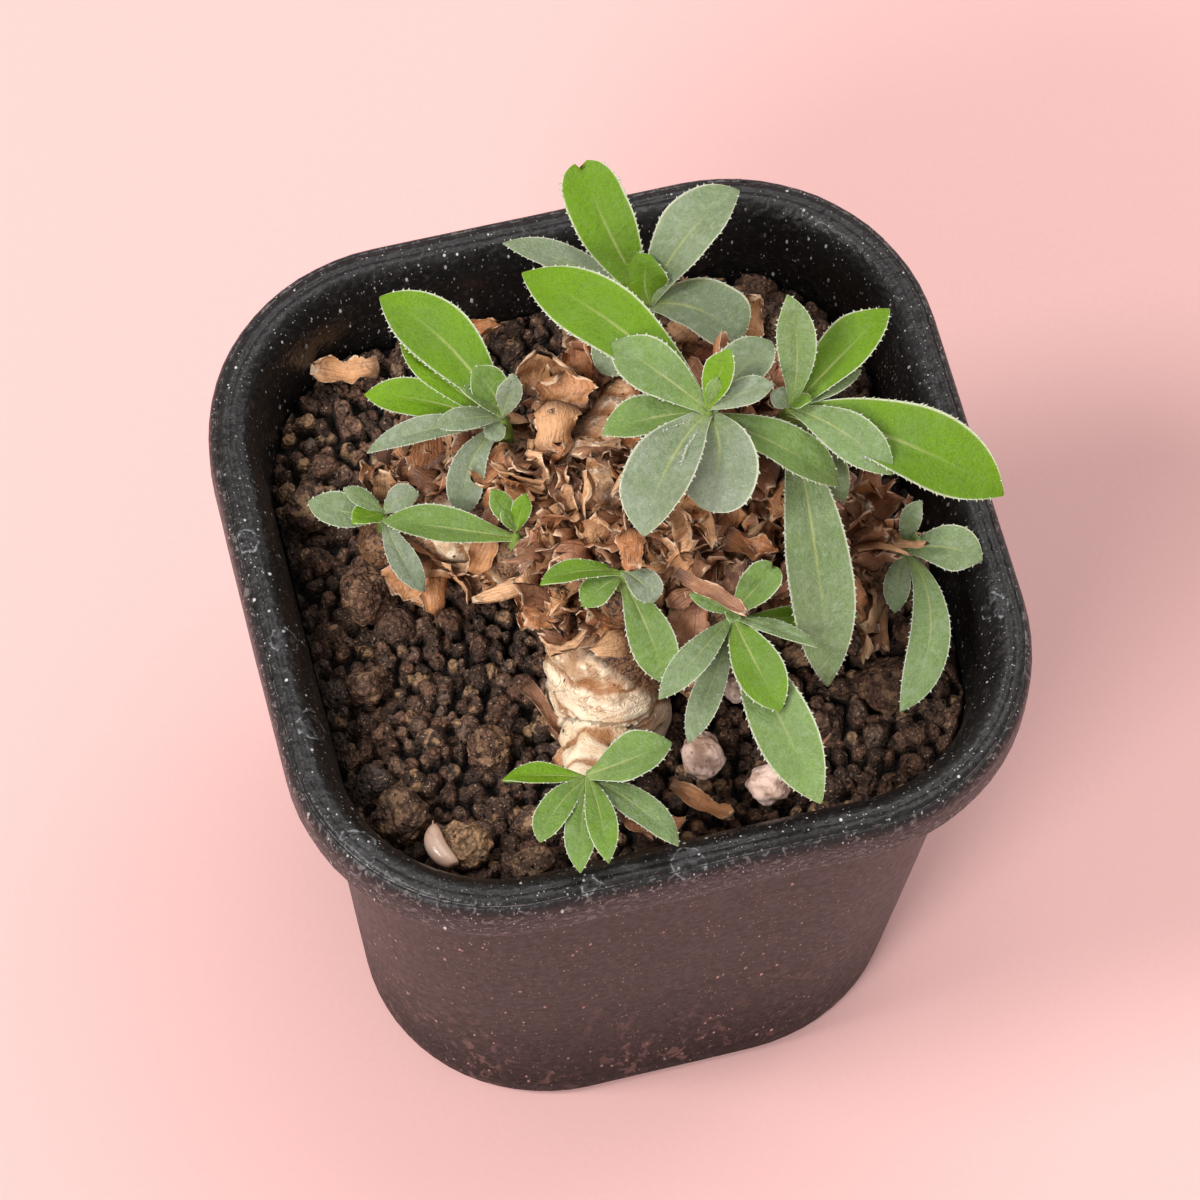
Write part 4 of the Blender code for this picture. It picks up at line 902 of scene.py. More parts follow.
def grains_over(x, y, pitch, seed, size, rise):
    """The tops of grains laid over places, the next grain's top below each, and each place's tone, wear and depth, the
    last being painted shade that darkens towards a grain's foot.

    Grains stand on a hexagonal lay, each moved by chance, squeezed and turned; a grain is the upper half of a ball
    whose footprint is pulled about by waves, and the highest grain shows. A grain of no size leaves a gap.
    """
    draw = np.random.default_rng(seed)
    table = draw.random((GRAIN_TABLE, GRAIN_TABLE, 8))
    flat = np.stack([x, y, 0 * x], axis=-1)
    bent_x = x + 0.09 * pitch * wander(flat, pitch * 0.85, seed + 1) + 0.10 * wander(flat, 1.1, seed + 3)
    bent_y = y + 0.09 * pitch * wander(flat, pitch * 0.85, seed + 2) + 0.10 * wander(flat, 1.1, seed + 4)
    row0 = np.round(y / (GRAIN_ROW * pitch)).astype(int)
    best = np.full(x.shape, NO_GRAIN)
    second = best.copy()
    marks = np.zeros((*x.shape, 3))
    for row in (row0 + step for step in range(-2, 3)):
        column0 = np.round(x / pitch - (row % 2) / 2).astype(int)
        for column in (column0 + step for step in range(-2, 3)):
            east, north, large, angle, thin, high, kind, light = np.moveaxis(
                table[row % GRAIN_TABLE, column % GRAIN_TABLE], -1, 0)
            off_x = bent_x - (column + (row % 2) / 2 + GRAIN_SHIFT * (east - 0.5)) * pitch
            off_y = bent_y - (row * GRAIN_ROW + GRAIN_SHIFT * (north - 0.5)) * pitch
            reach = pitch * (size[0] + (size[1] - size[0]) * large ** 1.4)
            long, wide = turned(off_x, off_y, angle * math.pi)
            away = (long / reach) ** 2 + (wide / (reach * (0.74 + 0.26 * thin))) ** 2
            dome = np.clip(1 - away ** 1.5, 0, 1) ** 0.55
            top = rise[0] + (rise[1] - rise[0]) * high + reach * 0.95 * (dome - 1)
            top = np.where((away < 1) & (reach > 0), top, NO_GRAIN)
            higher = top > best
            second = np.maximum(second, np.minimum(top, best))
            best = np.where(higher, top, best)
            tone = np.where(kind > 0.91, 0.90 + 0.1 * light, 0.84 * light)
            # the third mark is painted shade, darkest at the foot of the grain's dome
            new = np.stack([tone, kind < 0.12, np.clip(1.15 - 1.7 * dome, 0, 1)], axis=-1)
            marks = np.where(higher[..., None], new, marks)
    return best, second, marks


def soil_top(count):
    """The soil's top as a square grid of points, and their marks.

    A square from -1 to 1 is moved along rays from its centre till its edge is a rounded square. Three sizes of grains
    are laid over it and the highest shows; where two tops nearly meet there is a seam of painted shade. It sinks by the
    walls, with painted shade there.
    """
    own = looks().soil
    u, v = np.meshgrid(np.linspace(-1, 1, count), np.linspace(-1, 1, count))
    turns = np.arctan2(v, u)
    reach = outline_reach(turns, SOIL_HALF, SOIL_CORNER) * np.cos(folded(turns))
    x, y = u * reach, v * reach
    swell = 0.6 * wander(np.stack([x, y, 0 * x], axis=-1), 26.0, 8)
    top, second, marks = grains_over(x, y, own.small_pitch, 21, (0.42, 0.62), (-1.2, 0.2))
    for pitch, seed, size, rise in ((own.large_pitch, 22, (0.12, 0.58), (-0.6, 1.2)),
                                    (own.large_pitch * 1.7, 23, (-0.35, 0.50), (0.2, 1.9))):
        over, under, more = grains_over(x, y, pitch, seed, size, rise)
        marks = np.where((over > top)[..., None], more, marks)
        second = np.maximum(np.minimum(top, over), np.maximum(second, under))
        top = np.maximum(top, over)
    # painted shade: a dark seam where two grain tops nearly meet, and black in the deepest gaps
    seam = np.exp(-np.maximum(top - second, 0) / 0.18)
    top = top - 0.60 * seam
    marks[..., 2] = np.maximum(marks[..., 2], 0.9 * np.clip(1.25 * seam - 0.2, 0, 1))
    marks[top < DEEPEST_GAP] = (0.1, 0.0, 1.0)
    top = np.maximum(top, DEEPEST_GAP)
    place = np.stack([x, y, top], axis=-1)
    top = top + 0.13 * wander(place, 1.5, 24) + 0.08 * wander(place, 0.8, 25, 16)
    # painted shade beside the left and right walls, where the soil sinks
    beside = np.clip(1 - (SOIL_HALF - np.abs(x)) / WALL_BAND, 0, 1)
    marks[..., 2] = np.maximum(marks[..., 2], 0.85 * beside ** 1.5)
    z = SOIL_TOP + swell + top - WALL_SINK * beside
    edge = np.maximum(np.abs(u), np.abs(v)) > 1 - 1e-9
    z[edge] = np.minimum(z[edge], SOIL_TOP - EDGE_DROP)
    return np.stack([x, y, z], axis=-1).reshape(-1, 3), marks.reshape(-1, 3)


def stones():
    """The larger stones: balls squeezed along drawn axes, with lumps, and their faces and marks.

    The radius is 1 plus broad lumps, less bites where a drawn direction faces the point closely; then each point
    moves out or in by three sizes of chance waves.
    """
    shape, faces = ball()
    centres = np.array([(x, y, SOIL_TOP + 0.16 * size) for x, y, size, _ in LAVA])[:, None]
    sizes = np.array([size for _, _, size, _ in LAVA])
    draw = np.random.default_rng(33)
    count = len(LAVA)
    axes = np.linalg.qr(draw.normal(size=(count, 3, 3)))[0]
    stretch = draw.uniform(0.82, 1.10, (count, 1, 3))
    bumps = unit(draw.normal(size=(count, 5, 3)))
    cuts = unit(draw.normal(size=(count, 6, 3)))
    raised = np.cos(2.3 * np.einsum("pc,nkc->npk", shape, bumps) + draw.uniform(0, 6, (count, 1, 5)))
    hollow = np.clip((np.einsum("pc,nkc->npk", shape, cuts) - 0.72) / 0.28, 0, 1) ** 1.2
    radius = 1 + 0.13 * raised.mean(axis=2) * 1.6 - 0.14 * hollow.sum(axis=2)
    rocks = np.einsum("npc,ncd->npd", shape * radius[..., None] * stretch, axes)
    rocks = rocks * (sizes / 2)[:, None, None] + centres
    rough = 0.40 * wander(rocks, 2.6, 51) + 0.20 * wander(rocks, 1.2, 52) + 0.10 * wander(rocks, 0.6, 53, 16)
    rocks += unit(rocks - centres) * rough[..., None]
    marks = np.repeat([(tone, 0.5, 0.0) for *_, tone in LAVA], len(shape), axis=0)
    return rocks, copied(faces, count, len(shape)), marks


def build_soil():
    """The soil: one filled body, its top a height field of grains on a tapering skirt, and larger stones on it."""
    material = grit_paint()
    count = looks().soil.cells
    grid, marks = soil_top(count)
    faces = grid_faces(count)
    side = np.arange(count - 1)
    loop = np.concatenate([side, (side + 1) * count - 1, count * count - 1 - side, (count - 1 - side) * count])
    turns = np.arctan2(grid[loop, 1], grid[loop, 0])
    lower = []
    for half, corner, height in SOIL_SKIRT:
        reach = outline_reach(turns, half, corner)
        lower.append(np.column_stack([reach * np.cos(turns), reach * np.sin(turns), np.full(len(loop), height)]))
    rings = [loop] + [len(grid) + len(loop) * k + np.arange(len(loop)) for k in range(len(lower))]
    for above, below in zip(rings, rings[1:]):
        faces += np.stack([below, np.roll(below, -1), np.roll(above, -1), above], axis=1).tolist()
    faces.append(rings[-1][::-1].tolist())
    # the soil's sides get painted shade
    marks = np.vstack([marks, np.tile((0.1, 0.0, 0.8), (len(lower) * len(loop), 1))])
    stand_for(put_mesh("soil_grit", np.vstack([grid, *lower]), faces, material, "grain", marks), "soil", "soil")
    rocks, faces, marks = stones()
    stand_for(put_mesh("soil_stones", rocks, faces, material, "grain", marks), "soil")


# ---- the caudex ----
def limb_points(run, count, around, grow):
    """A branch's rings: circles along its smooth run, shrinking to a small cap past each end."""
    fine = smooth_run(run, count)
    centres, radii = fine[:, :3], fine[:, 3] + grow
    first = unit(centres[0] - centres[1]) * radii[0]
    last = unit(centres[-1] - centres[-2]) * radii[-1]
    centres = np.vstack([centres[0] + first * 0.9, centres[0] + first * 0.6, centres,
                         centres[-1] + last * 0.6, centres[-1] + last * 0.95])
    widths = np.concatenate([radii[0] * np.array([0.35, 0.8]), radii, radii[-1] * np.array([0.8, 0.3])])
    return sweep(centres, widths, around)


def along_runs(points):
    """For each point its place along the branch that is nearest for its thickness, in millimetres."""
    best = np.full(len(points), np.inf)
    place = np.zeros(len(points))
    for number, run in enumerate((TRUNK, *BRANCHES.values())):
        fine = smooth_run(run, RUN_SAMPLES)
        length = np.concatenate([[0], np.cumsum(np.linalg.norm(np.diff(fine[:, :3], axis=0), axis=1))])
        away = np.linalg.norm(points[:, None] - fine[None, :, :3], axis=2) / fine[None, :, 3]
        pick = away.argmin(axis=1)
        before = np.maximum(pick - 1, 0)
        start = fine[before, :3]
        along = unit(fine[np.minimum(pick + 1, RUN_SAMPLES - 1), :3] - start)
        here = length[before] + np.einsum("pc,pc->p", points - start, along)
        least = away.min(axis=1)
        nearer = least < best
        place[nearer] = here[nearer] + number * RUN_SHIFT
        best[nearer] = least[nearer]
    return place


def bare_share(points, wider=0.0):
    """Where bark shows: 1 on the trunk's front, below a slanted plane, and in the bare spots, else fading to 0."""
    line = points * BARE_SLOPE
    share = ease(-line[:, 0] - line[:, 1] - line[:, 2] + BARE_SLOPE[2] * BARE_TOP - BARE_LINE, -wider, 1.5 - wider)
    share = share * ease(-points[:, 2], -BARE_TOP - 2, -BARE_TOP) * ease(-points[:, 1], 2, 5)
    for x, y, z, reach in BARE_SPOTS:
        away = np.linalg.norm(points - (x, y, z), axis=1)
        share = np.maximum(share, ease(-away, -reach - 1.2, -reach + 0.6))
    return share


def fused(item, size):
    """An object's mesh after a fine remesh, which makes its tubes one body."""
    fuse = item.modifiers.new("fuse", "REMESH")
    fuse.mode = "VOXEL"
    fuse.voxel_size = size
    fuse.use_smooth_shade = True
    bpy.context.view_layer.update()
    mesh = bpy.data.meshes.new_from_object(item.evaluated_get(bpy.context.evaluated_depsgraph_get()))
    item.modifiers.clear()
    return mesh


def build_caudex():
    """The caudex: tubes along the trunk and the branches, fused by a fine remesh, then folded across their run.

    The fold is a power of a sine's size along the nearest run, bent by chance, so its creases are narrow.
    """
    own = looks().bark
    material = bark_paint()
    rings = [limb_points(TRUNK, *TRUNK_GRID, THIN_BARK)]
    rings += [limb_points(run, *LIMB_GRID, THIN_BARK if name == "low_front" else THICK_BARK)
              for name, run in BRANCHES.items()]
    item = put_mesh("caudex_bark", *gather((limb, tube_faces(*limb.shape[:2])) for limb in rings), material)
    item.data = mesh = fused(item, own.mesh_size)
    places = read_rows(mesh.vertices, "co") / MM
    normals = read_rows(mesh.vertex_normals, "vector")
    bent = along_runs(places) + 1.1 * wander(places, 11.0, 61) + 0.5 * wander(places, 4.0, 62)
    fold = np.abs(np.sin(math.pi * bent / own.fold_pitch)) ** 0.6
    fold = fold * (0.75 + 0.25 * wander(places, 6.0, 66))
    fine = np.abs(np.sin(math.pi * (bent / 0.85 + 0.5 * wander(places, 2.6, 63)))) ** 0.7
    knob = wander(places, 7.0, 64) + 0.35 * wander(places, 3.0, 65)
    knob = knob * (1 - 0.55 * ease(places[:, 2], 98, 102)) + 0.30 * wander(places, 1.6, 67)
    bare = bare_share(places)
    rise = own.fold_depth * (fold - 0.6) + 0.10 * (fine - 0.6) + 0.55 * knob
    places += normals * (rise * (0.35 + 0.65 * bare))[:, None]
    mesh.vertices.foreach_set("co", (places * MM).ravel())
    # marks: painted shade in the fold creases, painted shade under the dead leaves, and the place along the runs
    put_mark(mesh, "bark_place", np.column_stack([np.clip(1.15 - 1.7 * fold, 0, 1), 1 - bare, bent * MM]))
    mesh.materials.clear()
    mesh.materials.append(material)
    mesh.shade_smooth()
    mesh.update()
    stand_for(item, "caudex", "caudex")


# ---- the dead leaves ----
def flake_points(flakes, rows, half_around, thickness, seed):
    """Curled papery strips, all at once, and the marks of their points.

    Each runs from its root along a line whose pitch to the branch changes by its curl; its cross section is an arc
    whose half angle is its cup, with a raised lip, and the section turns with its twist. Two sines of the way along
    pull its width about, and two more, slanted across it, ripple it.
    """
    draw = np.random.default_rng(seed)
    count = len(flakes.length)
    t = np.linspace(0, 1, rows)[None, :]
    waves = draw.uniform(0, math.tau, (count, 6, 1))
    pitch = flakes.rise[:, None] + flakes.curl[:, None] * t ** 1.2 + 0.28 * np.sin(5.5 * t + waves[:, 0])
    step = flakes.length[:, None] / (rows - 1)
    ahead, above = (np.cumsum(part * step, axis=1) - part[:, :1] * step for part in (np.cos(pitch), np.sin(pitch)))
    out, along = flakes.out[:, None], flakes.along[:, None]
    line = flakes.root[:, None] + ahead[..., None] * along + above[..., None] * out
    forward, up = turned(along, out, pitch[..., None])
    turn = flakes.twist[:, None] * (t - 0.3) + 0.15 * np.sin(4 * t + waves[:, 1])
    side, up = turned(np.cross(along, out), up, turn[..., None])
    body = 0.42 + 0.58 * np.sin(math.pi * (0.08 + 0.80 * t)) ** 0.5
    pulled = 1 + 0.13 * np.sin(8 * t + waves[:, 2]) + 0.07 * np.sin(17 * t + waves[:, 3])
    half = (flakes.width[:, None] / 2 * body * pulled * np.sqrt(1 - 0.66 * ease(t, 0.88, 1.0)))[..., None]
    turns = circle(2 * half_around)
    v, w = np.cos(turns)[None, None], np.sin(turns)[None, None]
    torn = 1 + 0.09 * draw.uniform(-1, 1, (count, rows, len(turns))) * (np.abs(v) > 0.75)
    t = t[..., None]
    cup = flakes.cup[:, None, None] * (0.75 + 0.5 * t)
    angle = cup * v * torn
    bend = np.where(np.abs(cup) < 0.05, 0.05, cup)
    phase = waves[..., None]
    ripple = 0.24 * np.sin(4.5 * v + 5 * t + phase[:, 4]) + 0.18 * np.sin(11 * t - 2.5 * v + phase[:, 5])
    frill = 0.48 * np.abs(v) ** 3 * np.sin(13 * t + 2 * np.sign(v) + phase[:, 3])
    lift = half * (1 - np.cos(angle)) / bend + thickness * w
    lift = lift + (ripple + frill + 0.30 * np.abs(v) ** 6) * np.minimum(1, half / 1.6)
    end = 0.45 * ease(t, 0.8, 1.0) * np.sin(3 * turns + waves[:, 2])[:, None]
    points = (line[:, :, None] + (half * np.sin(angle) / bend)[..., None] * side[:, :, None]
              + lift[..., None] * up[:, :, None] + end[..., None] * forward[:, :, None])
    marks = np.stack(np.broadcast_arrays(v, t, flakes.tone[:, None, None]), axis=-1)
    return points[:, :, ::-1], marks[:, :, ::-1]


def leaf_tree():
    """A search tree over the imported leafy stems, in millimetres."""
    meshes = [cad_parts[name].data for name in ROSETTES]
    points, faces = gather(([v.co / MM for v in mesh.vertices], [face.vertices for face in mesh.polygons])
                           for mesh in meshes)
    return BVHTree.FromPolygons(points.tolist(), faces)


def draw_roots(count, draw, grow):
    """Places on the branches' skins, more of them on long thick runs: root, outward and along."""
    runs = [smooth_run(run, 20) for run in (TRUNK[1:], TRUNK[1:], *list(BRANCHES.values())[:-1])]
    starts = np.vstack([run[:-1] for run in runs])
    ends = np.vstack([run[1:] for run in runs])
    area = np.linalg.norm(ends[:, :3] - starts[:, :3], axis=1) * (starts[:, 3] + 1.5)
    pick = draw.choice(len(starts), count, p=area / area.sum())
    share = draw.random(count)[:, None]
    middle = starts[pick] + (ends[pick] - starts[pick]) * share
    axis = unit(ends[pick, :3] - starts[pick, :3])
    out = squared(draw.normal(size=(count, 3)) + (0, 0, 0.55), axis)
    return middle[:, :3] + out * (middle[:, 3:] + grow), out, axis


def inside_branches(points, grow):
    """Which points lie inside any branch grown by a distance."""
    found = np.zeros(len(points), bool)
    for run in (TRUNK, *BRANCHES.values()):
        fine = smooth_run(run, RUN_SAMPLES)
        away = np.linalg.norm(points[:, None] - fine[None, :, :3], axis=2)
        found |= (away < fine[None, :, 3] + grow).any(axis=1)
    return found


def drawn_flakes(count, seed, kind, scale):
    """Flakes rooted by chance on the branches, where they aren't buried, low beneath or on bare bark."""
    draw = np.random.default_rng(seed)
    root, out, axis = draw_roots(count, draw, 0.9)
    good = ~inside_branches(root + out * 0.4, 0.5) & (bare_share(root, 3.2) < 0.35) & (root[:, 2] > LOWEST_ROOT)
    good &= (out[:, 2] > -0.55) | (draw.random(count) < 0.3)
    root, out, axis = root[good], out[good], axis[good]
    count = len(root)
    turn = draw.normal(0, 1.3, count)
    along = unit(np.cos(turn)[:, None] * axis * draw.choice([-1, 1], count)[:, None]
                 + np.sin(turn)[:, None] * np.cross(out, axis))
    lean = squared(unit(out + 0.35 * draw.normal(size=(count, 3))), along)
    sizes = [draw.uniform(low * scale, high * scale, count) for low, high in (kind.length, kind.width)]
    bends = [draw.uniform(*limits, count) for limits in (kind.rise, kind.curl, kind.cup, kind.twist)]
    return Flakes(root - lean * 0.3, lean, along, *sizes, *bends, draw.random(count))


def placed_flakes():
    """The flakes that stand out in the photograph, each from its row of STRAYS."""
    rows = np.array(STRAYS, float)
    heading, pitch = np.radians(rows[:, 3]), np.radians(rows[:, 4])
    along = np.stack([np.cos(heading) * np.cos(pitch), np.sin(heading) * np.cos(pitch), np.sin(pitch)], axis=1)
    out = np.stack([-np.cos(heading) * np.sin(pitch), -np.sin(heading) * np.sin(pitch), np.cos(pitch)], axis=1)
    length, width, curl, cup, twist, tone = rows[:, 5:].T
    return Flakes(rows[:, :3] - along * length[:, None] * 0.5, out, along, length, width, -0.35 * curl, curl, cup,
                  twist, tone)


def clear_flakes(points, leaves, most):
    """Which flakes stay off the leaves, the bare bark and the pot's wall, up to a number of them."""
    count = len(points)
    inside = np.abs(points[..., :2]).reshape(count, -1).max(axis=1) < SOIL_HALF - 1.0
    inside &= points[..., 2].reshape(count, -1).min(axis=1) > LOWEST_FLAKE
    spots = np.array(BARE_SPOTS)
    probe = points[:, :, ::2].reshape(count, -1, 3)
    over = (np.linalg.norm(probe[:, :, None] - spots[:, :3], axis=3) < spots[:, 3]).any(axis=(1, 2))
    over |= (bare_share(probe.reshape(-1, 3), 2.6).reshape(count, -1) > 0.5).mean(axis=1) > 0.12
    kept = []
    for i in np.flatnonzero(inside & ~over):
        if all(leaves.find_nearest(Vector(p), LEAF_GAP)[0] is None for p in probe[i]):
            kept.append(i)
        if len(kept) == most:
            break
    return np.array(kept)


def put_flakes(name, points, marks, material, *nodes):
    """A piece of papery flakes."""
    faces = tube_faces(*points.shape[1:3], len(points))
    stand_for(put_mesh(name, points, faces, material, "flake_place", marks), "dead_leaf", *nodes)


def build_dead_leaves():
    """The dead leaves: curled petals and narrower shreds drawn on the branches, and the ribbons listed one by one."""
    own = looks().dead
    material = papery_paint()
    leaves = leaf_tree()
    for number, (name, kind) in enumerate(FLAKE_KINDS.items()):
        most = getattr(own, name)
        flakes = drawn_flakes(most * 4, 77 + number, kind, own.size)
        points, marks = flake_points(flakes, kind.rows, kind.half_around, kind.thickness, 87 + number)
        kept = clear_flakes(points, leaves, most)
        nodes = ["dead_leaves"] if name == "petals" else []
        put_flakes(f"dead_leaf_{name}", points[kept], marks[kept], material, *nodes)
    put_flakes("dead_leaf_ribbons", *flake_points(placed_flakes(), *RIBBON, 97), material)


# ---- the leafy stems ----
def blade_half(share, width, full):
    """Half a blade's width: it eases from a narrow stalk to the widest place, then closes like a power curve."""
    rise = np.clip(share / WIDEST, 0, 1)
    lower = STALK_WIDTH + (1 - STALK_WIDTH) * (3 * rise ** 2 - 2 * rise ** 3) ** 0.72
    fall = np.clip((1 - share) / (1 - WIDEST), 0, 1)
    return width / 2 * np.where(share < WIDEST, lower, 1 - (1 - fall) ** full)


def leaf_frames(crown, leaf, shares):
    """A leaf's midrib and its forward, side and up directions: pitch and heading change evenly along its length."""
    age = np.clip((45 - leaf.rise) / 60, 0, 1)
    root = np.array(crown, float) - (0, 0, OLDEST_DROP * age)
    fine = np.linspace(0, 1, MIDRIB_STEPS + 1)
    pitch = np.radians(leaf.rise + (leaf.tip - leaf.rise) * fine)
    heading = np.radians(leaf.heading + leaf.sweep * fine)
    forward = np.stack([np.cos(pitch) * np.cos(heading), np.cos(pitch) * np.sin(heading), np.sin(pitch)], axis=1)
    middle = (forward[1:] + forward[:-1]) / 2 * leaf.length / MIDRIB_STEPS
    line = root + np.vstack([np.zeros(3), np.cumsum(middle, axis=0)])
    ahead = unit(sampled(shares, fine, forward))
    side = unit(np.cross(ahead, (0, 0, 1)))
    return sampled(shares, fine, line), ahead, side, np.cross(side, ahead)


def blade(crown, leaf, seed):
    """One leaf as a closed ring carried along its midrib, with its marks and what its teeth need.

    The section is a lens: across is a cosine and its thickness a sine times a crown, raised with a power of the
    distance from the midrib, and waved along the margin. A notched tip is drawn back at its middle.
    """
    own = looks().leaves
    draw = np.random.default_rng(seed)
    t = 1 - (1 - np.linspace(0, 1, own.rows)) ** 1.25
    shares = t * (0.955 if leaf.notch else 0.994)
    line, ahead, side, up = leaf_frames(crown, leaf, shares)
    half = np.maximum(blade_half(shares, leaf.width, leaf.full), 0.12)
    if leaf.notch:
        half[-3:] *= (0.93, 0.82, 0.62)
    roll = math.radians(draw.uniform(-22, 22)) * t + math.radians(draw.uniform(-9, 9))
    side, up = turned(side, up, roll[:, None])
    turns = circle(own.around)
    x, w = np.cos(turns)[None], -np.sin(turns)[None]
    along, wide = t[:, None], half[:, None]
    taper = np.minimum(1, (1 - along) / 0.10) ** 0.5
    thick = (0.13 + own.thickness * (1 - x ** 2)) * (0.25 + 0.75 * taper)
    fold = draw.uniform(0.20, 0.50) * wide * np.abs(x) ** 1.5
    groove = 0.16 * np.exp(-(x / 0.09) ** 2) * (w > 0) * ease(1 - along, 0.05, 0.4)
    phase = draw.uniform(0, math.tau, 2)
    wave = 0.05 * wide * x ** 2 * (np.sin(9 * along + phase[0] + 1.5 * x) + 0.6 * np.sin(17 * along + phase[1]))
    lift = fold + wave + thick * w - groove
    back = leaf.notch * 1.3 * np.clip(1 - np.abs(x) / 0.75, 0, 1) * ease(along, 0.84, 1.0)
    points = (line[:, None] + (wide * x)[..., None] * side[:, None] + lift[..., None] * up[:, None]
              - back[..., None] * ahead[:, None])
    tone = np.clip(leaf.tone + draw.uniform(-0.04, 0.04), 0, 1)
    marks = np.stack(np.broadcast_arrays(x, along, tone), axis=-1)
    return points, marks.reshape(-1, 3), (points[:, 0], points[:, own.around // 2], ahead, side, up, t)


def teeth(leaf, frames, seed):
    """A leaf's fine teeth: four-sided points that stand out of both margins and lean towards the tip."""
    own = looks().leaves
    draw = np.random.default_rng(seed)
    right, left, ahead, side, up, t = frames
    count = max(3, int(round(0.72 * leaf.length / own.tooth_pitch)))
    shares = np.linspace(0.26, 0.955, count)
    points, marks = [], []
    for sign, margin in ((-1, left), (1, right)):
        s = np.clip(shares + draw.uniform(-0.35, 0.35, count) * 0.7 / count, 0.2, 0.97)
        place, out, fore, over = (sampled(s, t, rows) for rows in (margin, side * sign, ahead, up))
        out = unit(out + 0.55 * fore)
        size = (own.tooth * draw.uniform(0.6, 1.2, count) * min(1.0, 0.4 + leaf.width / 10))[:, None]
        base = place - out * 0.12
        long, tall = fore * size * 0.7, over * 0.10
        points.append(np.stack([base + long, base + tall, base - long, base - tall, place + out * size], axis=1))
        marks.append(np.column_stack([np.ones(count), s, np.full(count, leaf.tone)]))
    return np.vstack(points), np.repeat(np.vstack(marks), 5, axis=0)


def build_leaves():
    """The leafy stems: each a short stem, its blades and their teeth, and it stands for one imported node."""
    own = looks().leaves
    material = leaf_paint()
    blade_faces = tube_faces(own.rows, own.around)
    for number, (name, rosette) in enumerate(ROSETTES.items()):
        x, y, z = rosette.crown
        fine = smooth_run([(x, y, z - down, rosette.stem * thick) for down, thick in STEM_STEPS], STEM_RINGS)
        stem = sweep(fine[:, :3], fine[:, 3], STEM_AROUND, (0.0, 1.0, 0.0))
        parts = [(stem, tube_faces(*stem.shape[:2]))]
        marks = [np.tile((0.3, 0.05, 0.25), (stem.size // 3, 1))]
        for i, leaf in enumerate(rosette.leaves):
            seed = 100 * number + i
            rings, places, frames = blade(rosette.crown, leaf, seed)
            tips, tip_places = teeth(leaf, frames, seed)
            parts += [(rings, blade_faces), (tips, copied(TOOTH_FACES, len(tips), 5))]
            marks += [places, tip_places]
        item = put_mesh(f"{name}_fine", *gather(parts), material, "leaf_place", np.vstack(marks))
        stand_for(item, SLOT_OF.get(name, "old_leaf"), name)


# ---- the loose pieces ----
def build_pumice():
    """The three pumice stones: balls with deep rounded lumps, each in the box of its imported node."""
    material = pumice_paint()
    shape, faces = ball()
    for number in (1, 2, 3):
        name = f"pumice_{number}"
        low, high = node_box(name)
        lumps = wander(shape, 1.15, 90 + number)
        radius = 1 + 0.16 * lumps + 0.05 * wander(shape, 0.42, 95 + number)
        points = (low + high) / 2 + shape * radius[:, None] * (high - low) / 2 * 0.96
        # the first mark is how much painted shade falls between the lumps
        marks = np.column_stack([np.clip(0.35 - 0.9 * lumps, 0, 1), 0 * radius, 0 * radius])
        stand_for(put_mesh(f"{name}_chalk", points, faces.tolist(), material, "grain", marks), "pumice", name)


def build_husk():
    """The husk: a bent tapering shell, its ring a circle pressed in along one side where its lips meet."""
    low, high = node_box("husk")
    t = np.linspace(0, 1, HUSK_ROWS)[:, None]
    run, side = level(HUSK_TURN)
    bow = 1.1 * (1 - (2 * t - 1) ** 2) - 0.6
    line = (low + high) / 2 + HUSK_SHIFT + (t - 0.5) * HUSK_LENGTH * run + bow * side * 0.8
    width = HUSK_WIDTH * np.clip(1 - np.abs(2 * t - 0.86) ** 2.6, 0.004, 1) ** 0.5
    turns = circle(HUSK_AROUND)
    dent = 1 - 0.22 * np.exp(-((np.cos(turns) - 1) / 0.12) ** 2)
    rings = (line[:, None] + (width * np.cos(turns) * dent)[..., None] * -side
             + (width * 0.85 * np.sin(turns) * dent)[..., None] * np.array([0, 0, 1.0]))
    marks = np.stack(np.broadcast_arrays(np.cos(turns), t, 0.0), axis=-1)
    item = put_mesh("husk_shell", rings[:, ::-1], tube_faces(HUSK_ROWS, HUSK_AROUND), husk_paint(), "husk_place",
                    marks[:, ::-1])
    stand_for(item, "husk", "husk")


def build_fallen_leaves():
    """The fallen leaves: papery strips that lie on the soil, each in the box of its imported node."""
    material = bpy.data.materials.get("papery dead leaf") or papery_paint()
    one = np.ones(1)
    for number, (name, (heading, length, width, tone, cup, curl, back)) in enumerate(FALLEN.items()):
        low, high = node_box(name)
        along = level(heading)[0][None]
        root = (low + high) / 2 - along * length / 2 + (0, back, 0.15)
        flakes = Flakes(root, np.array([[0.0, 0.0, 1.0]]), along, one * length, one * width, one * -curl * 0.35,
                        one * curl * 0.6, one * cup, one * 0.3, one * tone)
        points, marks = flake_points(flakes, *FALLEN_LEAF, 200 + number)
        points[..., 2] += low[2] + 0.1 - points[..., 2].min()
        put_flakes(f"{name}_papery", points, marks, material, name)


